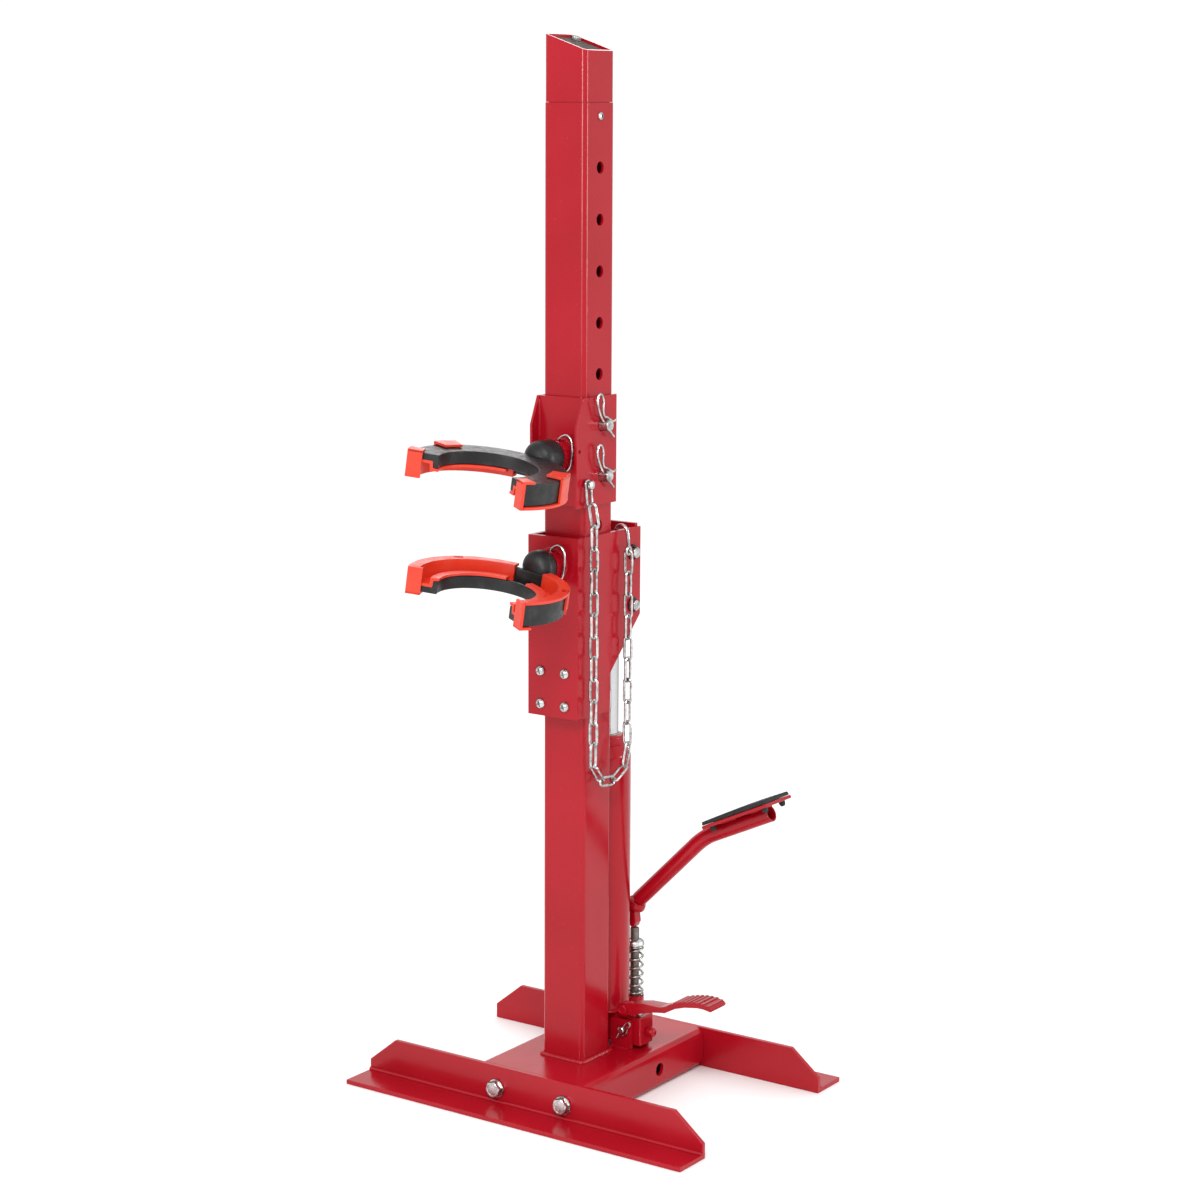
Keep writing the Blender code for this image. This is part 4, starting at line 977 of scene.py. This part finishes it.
def make_carriage():
    ring = circle((0, CARRIAGE_FACE - 0.0002, LOWER_NECK_Z), BUSH_RADIUS, Y_AXIS)
    beads = [weld_bead(ring, 0.0022, True)]
    for x in (-0.0273, 0.0273):
        beads.append(weld_bead([(x, 0.0676, 0.588), (x, 0.0676, 0.630)], 0.0018))
    refine("carriage", "red_paint", "carriage", 0.0009, 3, extra=beads)
    refine("front_wear_pad", "nylon", "carriage", 0.0003)
    refine("rear_wear_pad", "nylon", "carriage", 0.0003)
    refine("lift_block", "grey_steel", "carriage", 0.0004)
    for corner in ("top_left", "top_right", "bottom_left", "bottom_right"):
        node = "wear_pad_screw_" + corner
        low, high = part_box(node)
        seat = ((low.x + high.x) / 2, high.y - 0.012, (low.z + high.z) / 2)
        mesh = cross_screw_mesh(seat, -Y_AXIS, 0.0056, 0.0036, 0.0025, 0.0118)
        piece(node + "_detail", mesh, "zinc", "carriage", node)
    for place in ("top", "bottom"):
        node = "cross_pin_" + place
        low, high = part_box(node)
        y, z = (low.y + high.y) / 2, (low.z + high.z) / 2
        mesh = pin_mesh(low.x, high.x, y, z, PIN_RADIUS, 0.008, -0.0328)
        profile = [(0.0056, 0.0335), (0.0075, 0.0335), (0.0075, 0.0327), (0.0056, 0.0327)]
        groove = lathe(profile, (0, y, z), X_AXIS, 48)
        piece(node + "_detail", combined(mesh, [groove]), "zinc", "carriage", node)
        node = "cross_pin_clip_" + place
        low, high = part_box(node)
        profile = [
            (0.0062, high.x), (0.0082, high.x), (0.0085, high.x - 0.0003),
            (0.0085, low.x + 0.0003), (0.0082, low.x), (0.0062, low.x),
        ]
        ring = lathe(profile, (0, y, z), X_AXIS, 64)
        gap = block((0.03, y - 0.0016, z - 0.012), (0.04, y + 0.0016, z - 0.004), 0)
        piece("cross_pin_ring_" + place, combined(ring, [gap]), "dark_steel", "carriage", node)


def make_chain_hook():
    top = HOOK_Z
    hook = [
        (CHAIN_X, CHAIN_RIGHT, top - 0.0175), (CHAIN_X - 0.0005, CHAIN_RIGHT, top - 0.008),
        (CHAIN_X - 0.0025, CHAIN_RIGHT, top + 0.0015), (0.0335, CHAIN_RIGHT, top + 0.0052),
        (0.0275, CHAIN_RIGHT, top + 0.0038), (0.0248, CHAIN_RIGHT, top - 0.0030),
        (0.0240, CHAIN_RIGHT, top - 0.0100),
    ]
    wire = tube(smooth_path(hook, 10), 0.0019, 14, True)
    eye = bmesh.new()
    eye_ring = circle((CHAIN_X, CHAIN_RIGHT, top - 0.0215), 0.0040, X_AXIS, 32)
    sweep_into(eye, eye_ring, 0.0017, 12, True)
    mesh = joined([wire, to_mesh(eye)])
    piece("chain_hook_wire", mesh, "zinc", "carriage", "chain_hook")


make_carriage()
make_chain_hook()

# ---- ram

RAM_Y = 0.0575
RAM_RADIUS = 0.0268
RAM_BORE = 0.0223
PUMP_X = 0.0153
PUMP_Y = 0.0926
PUMP_PIVOT = Vector((0.0077, PUMP_Y, 0.175))
SPRING_TURNS = 7
SPRING_MEAN = 0.0092
SPRING_WIRE = 0.0013


def make_ram():
    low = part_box("ram_cylinder")[0]
    shell = lathe([
        (0.0162, 0.389), (0.0192, 0.389), (0.0200, 0.3884),
        (0.0256, 0.3788), (0.0264, 0.3770), (RAM_RADIUS, 0.3745),
        (RAM_RADIUS, 0.0905), (0.0262, 0.0880), (0.0262, low.z),
        (0, low.z), (0, low.z + 0.008), (RAM_BORE, low.z + 0.008),
        (RAM_BORE, 0.370), (0.0162, 0.378),
    ], (0, RAM_Y, 0), sides=96)
    x, y, z = PUMP_PIVOT
    lug = block((x - 0.0045, 0.0800, z - 0.0040), (x + 0.0045, y - 0.0064, z + 0.0050), 0.0010, 3)
    beads = [
        weld_bead(circle((0, RAM_Y, 0.0856), RAM_RADIUS, Z_AXIS), 0.0019, True),
        weld_bead(circle((0, RAM_Y, 0.3893), 0.0198, Z_AXIS), 0.0011, True),
    ]
    piece("ram_shell", joined([shell, lug, *beads]), "red_paint", "stand", "ram_cylinder")
    gland = lathe([
        (0.0129, 0.3986), (0.0140, 0.399), (0.0166, 0.399),
        (0.0180, 0.3986), (0.0196, 0.3972), (0.0200, 0.3962),
        (0.0200, 0.3896), (0.0158, 0.3893), (0.0158, 0.379),
        (0.0129, 0.379),
    ], (0, RAM_Y, 0), sides=96)
    piece("ram_gland_nut", gland, "red_paint", "stand", "ram_gland")
    wiper = lathe([
        (0.01256, 0.4001), (0.0137, 0.4003), (0.0143, 0.3998),
        (0.0143, 0.3984), (0.01256, 0.3984),
    ], (0, RAM_Y, 0), sides=96)
    piece("ram_wiper", wiper, "nylon", "stand")
    refine("ram_rod", "chrome", "carriage", 0.0003)


def make_pump_base():
    refine("ram_base", "red_paint", "stand", 0.0008, 3)
    low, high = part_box("clevis_pin")
    pin_x, pin_z = (low.x + high.x) / 2, (low.z + high.z) / 2
    profile = [
        (0, -low.y), (0.0032, -low.y), (0.0040, -low.y - 0.0008),
        (0.0040, -0.0763), (0.0061, -0.0763), (0.0065, -0.0767),
        (0.0065, -0.0790), (0.0060, -0.0795), (0, -0.0795),
    ]
    pin = lathe(profile, (pin_x, 0, pin_z), -Y_AXIS, 40)
    piece("clevis_pin_detail", pin, "zinc", "stand", "clevis_pin")
    shape = [
        (-0.0065, -0.0105), (-0.0033, -0.0052), (0.0, 0.0),
        (0.0035, 0.0055), (0.0072, 0.0098), (0.0102, 0.0098),
        (0.0103, 0.0066), (0.0076, 0.0020), (0.0056, -0.0030),
        (0.0010, -0.0072),
    ]
    clip = bent_wire([(pin_x + x, 0.0362, pin_z + up) for x, up in shape], 0.0009, 10)
    piece("clevis_clip_wire", clip, "zinc", "stand", "clevis_clip")
    plug = lathe([
        (0, 0.0105), (0.0034, 0.0103), (0.0046, 0.0096),
        (0.0054, 0.0082), (0.0056, 0.0066), (0.0056, 0.0030),
        (0.0051, 0.0014), (0.0045, 0.0), (0.0031, 0.0),
        (0.0031, -0.005), (0, -0.005),
    ], (0.0563, RAM_Y, 0.0655), X_AXIS, 40)
    piece("release_plug_head", plug, "red_paint", "stand", "release_valve_plug")
    refine("release_valve_pin", "zinc", "release_valve", 0.0003)
    low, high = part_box("release_pivot_bolt")
    seat = ((low.x + high.x) / 2, low.y + 0.003, (low.z + high.z) / 2)
    mesh = hex_bolt_mesh(seat, -Y_AXIS, 0.010, 0.0030, 0.0025, 0.0138, 0.0)
    piece("release_bolt_detail", mesh, "red_paint", "stand", "release_pivot_bolt")


def make_plunger():
    low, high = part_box("pump_plunger")
    rod = lathe([
        (0, high.z), (0.0030, high.z - 0.0001), (0.0044, high.z - 0.0006),
        (0.0050, high.z - 0.0014), (0.0050, low.z), (0, low.z),
    ], (PUMP_X, PUMP_Y, 0), sides=40)
    piece("plunger_rod", rod, "grey_steel", "pump_plunger", "pump_plunger")
    cap_low, cap_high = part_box("spring_cap")
    cap = lathe([
        (0.0053, cap_high.z), (0.0068, cap_high.z), (0.0086, cap_high.z - 0.0007),
        (0.0100, cap_high.z - 0.0020), (0.0107, cap_high.z - 0.0036),
        (0.0110, cap_low.z + 0.0010), (0.0110, cap_low.z), (0.0053, cap_low.z),
    ], (PUMP_X, PUMP_Y, 0), sides=48)
    piece("spring_cap_dome", cap, "zinc", "pump_plunger", "spring_cap")
    spring_low, spring_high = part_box("pump_spring")
    bottom, top = spring_low.z + SPRING_WIRE, spring_high.z - SPRING_WIRE
    closed_rise = SPRING_WIRE * 2.05
    points = []
    total = SPRING_TURNS * 28
    for i in range(total + 1):
        turn = SPRING_TURNS * i / total
        if turn <= 1:
            height = bottom + closed_rise * turn
        elif turn >= SPRING_TURNS - 1:
            height = top - closed_rise * (SPRING_TURNS - turn)
        else:
            share = (turn - 1) / (SPRING_TURNS - 2)
            height = bottom + closed_rise + (top - bottom - 2 * closed_rise) * share
        angle = 2 * pi * turn
        x, y = PUMP_X + SPRING_MEAN * cos(angle), PUMP_Y + SPRING_MEAN * sin(angle)
        points.append((x, y, height))
    wire = tube(points, SPRING_WIRE, 12, True)
    coil = piece("spring_coil", wire, "spring_wire", "stand", "pump_spring", rigid=False)
    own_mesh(coil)


def make_pump_pedal():
    x, y, z = PUMP_PIVOT
    eye, nose = 0.0045, 0.0032
    outline = [
        (PUMP_X + nose * cos(pi * (1 + i / 8)), z - 0.0010 + nose * sin(pi * (1 + i / 8)))
        for i in range(9)
    ]
    outline += [
        (PUMP_X + 0.0050, z + 0.0024), (PUMP_X + 0.0046, z + 0.0060),
        (PUMP_X + 0.0040, z + 0.0110), (PUMP_X + 0.0044, z + 0.0160),
        (PUMP_X + 0.0056, z + 0.0205), (PUMP_X - 0.0052, z + 0.0205),
        (PUMP_X - 0.0060, z + 0.0150), (PUMP_X - 0.0078, z + 0.0090),
    ]
    outline += [
        (x + eye * cos(pi * (0.70 + 0.05 * i)), z + eye * sin(pi * (0.70 + 0.05 * i)))
        for i in range(20)
    ]
    body = prism(outline, y - 0.0060, y + 0.0060, 1, 0.0016, 4)
    body = combined(body, [rod(0.0023, -0.02, 0.02, (x, y, z), Y_AXIS)])
    tilt = Vector((0.0040, 0, 0.0072)).normalized()
    ring = lathe([
        (0, 0), (0.0080, 0), (0.0099, 0.0005),
        (0.0107, 0.0018), (0.0108, 0.0036), (0.0104, 0.0060),
        (0.0096, 0.0078), (0.0084, 0.0086), (0, 0.0088),
    ], (PUMP_X + 0.0002, y, z + 0.0184), tilt, 64)
    bead = weld_bead(circle((PUMP_X + 0.0036, y, z + 0.0258), 0.0090, tilt), 0.0013, True)
    piece("lever_casting", joined([body, ring, bead]), "red_paint", "pump_pedal", "pump_lever")
    refine("pump_pivot_pin", "zinc", "stand", 0.0003)
    start = Vector((0.0211, y, z + 0.0288))
    bend = Vector((0.1068, y, 0.2897))
    end = Vector((0.1920, y, 0.3293))
    route = [start, start.lerp(bend, 0.4), start.lerp(bend, 0.8)]
    a, b = start.lerp(bend, 0.86), bend.lerp(end, 0.14)
    for step in range(17):
        t = step / 16
        route.append(a * (1 - t) ** 2 + bend * 2 * t * (1 - t) + b * t * t)
    route += [bend.lerp(end, 0.4), bend.lerp(end, 0.8), end]
    tube_mesh = tube(route, 0.009, 48)
    direction = (end - bend).normalized()
    bore = tube([end - direction * 0.06, end + direction * 0.02], 0.0072, 40)
    tube_mesh = edged(combined(tube_mesh, [bore]), 0.0003, 2)
    up = Vector((-direction.z, 0, direction.x))
    turn = Matrix((direction, Y_AXIS, up)).transposed().to_4x4()
    middle = bend.lerp(end, 0.68) + up * (0.009 - 0.0010)
    place = Matrix.Translation(middle + up * 0.0015) @ turn
    plate = block((-0.045, -0.026, -0.0012), (0.045, 0.026, 0.0026), 0.0009, 3)
    beads = []
    for side in (-1, 1):
        at = side * 0.0052
        beads.append(weld_bead([(-0.034, at, -0.0018), (-0.012, at, -0.0018)], 0.0016))
        beads.append(weld_bead([(0.008, at, -0.0018), (0.030, at, -0.0018)], 0.0016))
    for mesh in [plate, *beads]:
        mesh.transform(place)
    piece("pedal_frame", joined([tube_mesh, plate, *beads]), "red_paint", "pump_pedal", "pedal_tube")
    pads = [block((-0.044, -0.025, 0.0030), (0.044, 0.025, 0.0056), 0.0008, 3)]
    for i in range(14):
        at = -0.0410 + i * 0.0786 / 13
        crown = 0.0009 * (1 - (at / 0.044) ** 2)
        pads.append(block((at, -0.0240, 0.0050), (at + 0.0034, 0.0240, 0.0070 + crown), 0.0007, 3))
    for side in (-1, 1):
        low, high = side * 0.0243 - 0.0007, side * 0.0243 + 0.0007
        pads.append(block((-0.0432, low, 0.0050), (0.0432, high, 0.0070), 0.0005))
    stud = [
        (0, -0.0012), (0.0036, -0.0012), (0.0036, -0.0030),
        (0.0028, -0.0056), (0.0018, -0.0066), (0, -0.0068),
    ]
    for at in (-0.036, 0.036):
        for across in (-0.018, 0.018):
            pads.append(lathe(stud, (at, across, 0), Z_AXIS, 24))
    mesh = joined(pads)
    mesh.transform(place)
    piece("pedal_tread", mesh, "rubber", "pump_pedal", "pedal_pad")
    refine("release_pedal", "red_paint", "release_pedal", 0.0006, 3)


make_ram()
make_pump_base()
make_plunger()
make_pump_pedal()

# ---- studio


def make_floor():
    shader = Shader("studio_floor", Roughness=0.8, Specular_IOR_Level=0.2)
    shader.drive(Base_Color=shader.ramp(shader.noise(2, 2), [(0.3, 0.955), (0.7, 0.975)]))
    made = bmesh.new()
    bmesh.ops.create_circle(made, cap_ends=True, segments=96, radius=60)
    floor = linked("floor", to_mesh(made))
    floor.data.materials.append(shader.material)
    floor.location.z = -0.0002


def area_light(name, place, aim, size, power):
    data = bpy.data.lights.new(name, "AREA")
    data.energy = power
    data.size = size
    lamp = linked(name, data)
    lamp.location = place
    lamp.rotation_euler = (Vector(place) - Vector(aim)).to_track_quat("Z", "Y").to_euler()
    return lamp


def strip_light(name, bearing, height, tall):
    """A tall reflector that only shows as a glint on rounded edges. Bearing is from -Y to +X."""
    distance = 3.0
    place = (distance * sin(radians(bearing)), -distance * cos(radians(bearing)), height)
    lamp = area_light(name, place, (0, 0, height), 0.4, 32)
    lamp.data.shape = "RECTANGLE"
    lamp.data.size_y = tall
    lamp.visible_diffuse = False
    lamp.visible_camera = False


def make_studio():
    make_floor()
    area_light("key", (1.5, -2.3, 2.6), (0, 0, 0.9), 0.9, 50)
    area_light("rim", (-1.6, 2.4, 2.2), (0, 0, 0.6), 1.2, 12)
    strip_light("left_strip", -7, 1.15, 0.7)
    strip_light("right_strip", 112, 1.05, 0.9)
    world = bpy.data.worlds.new("studio")
    world.use_nodes = True
    background = world.node_tree.nodes["Background"].inputs
    background["Color"].default_value = (1, 1, 1, 1)
    background["Strength"].default_value = 1.06
    bpy.context.scene.world = world
    bpy.context.scene.view_settings.view_transform = "Standard"


make_studio()

bpy.context.view_layer.update()
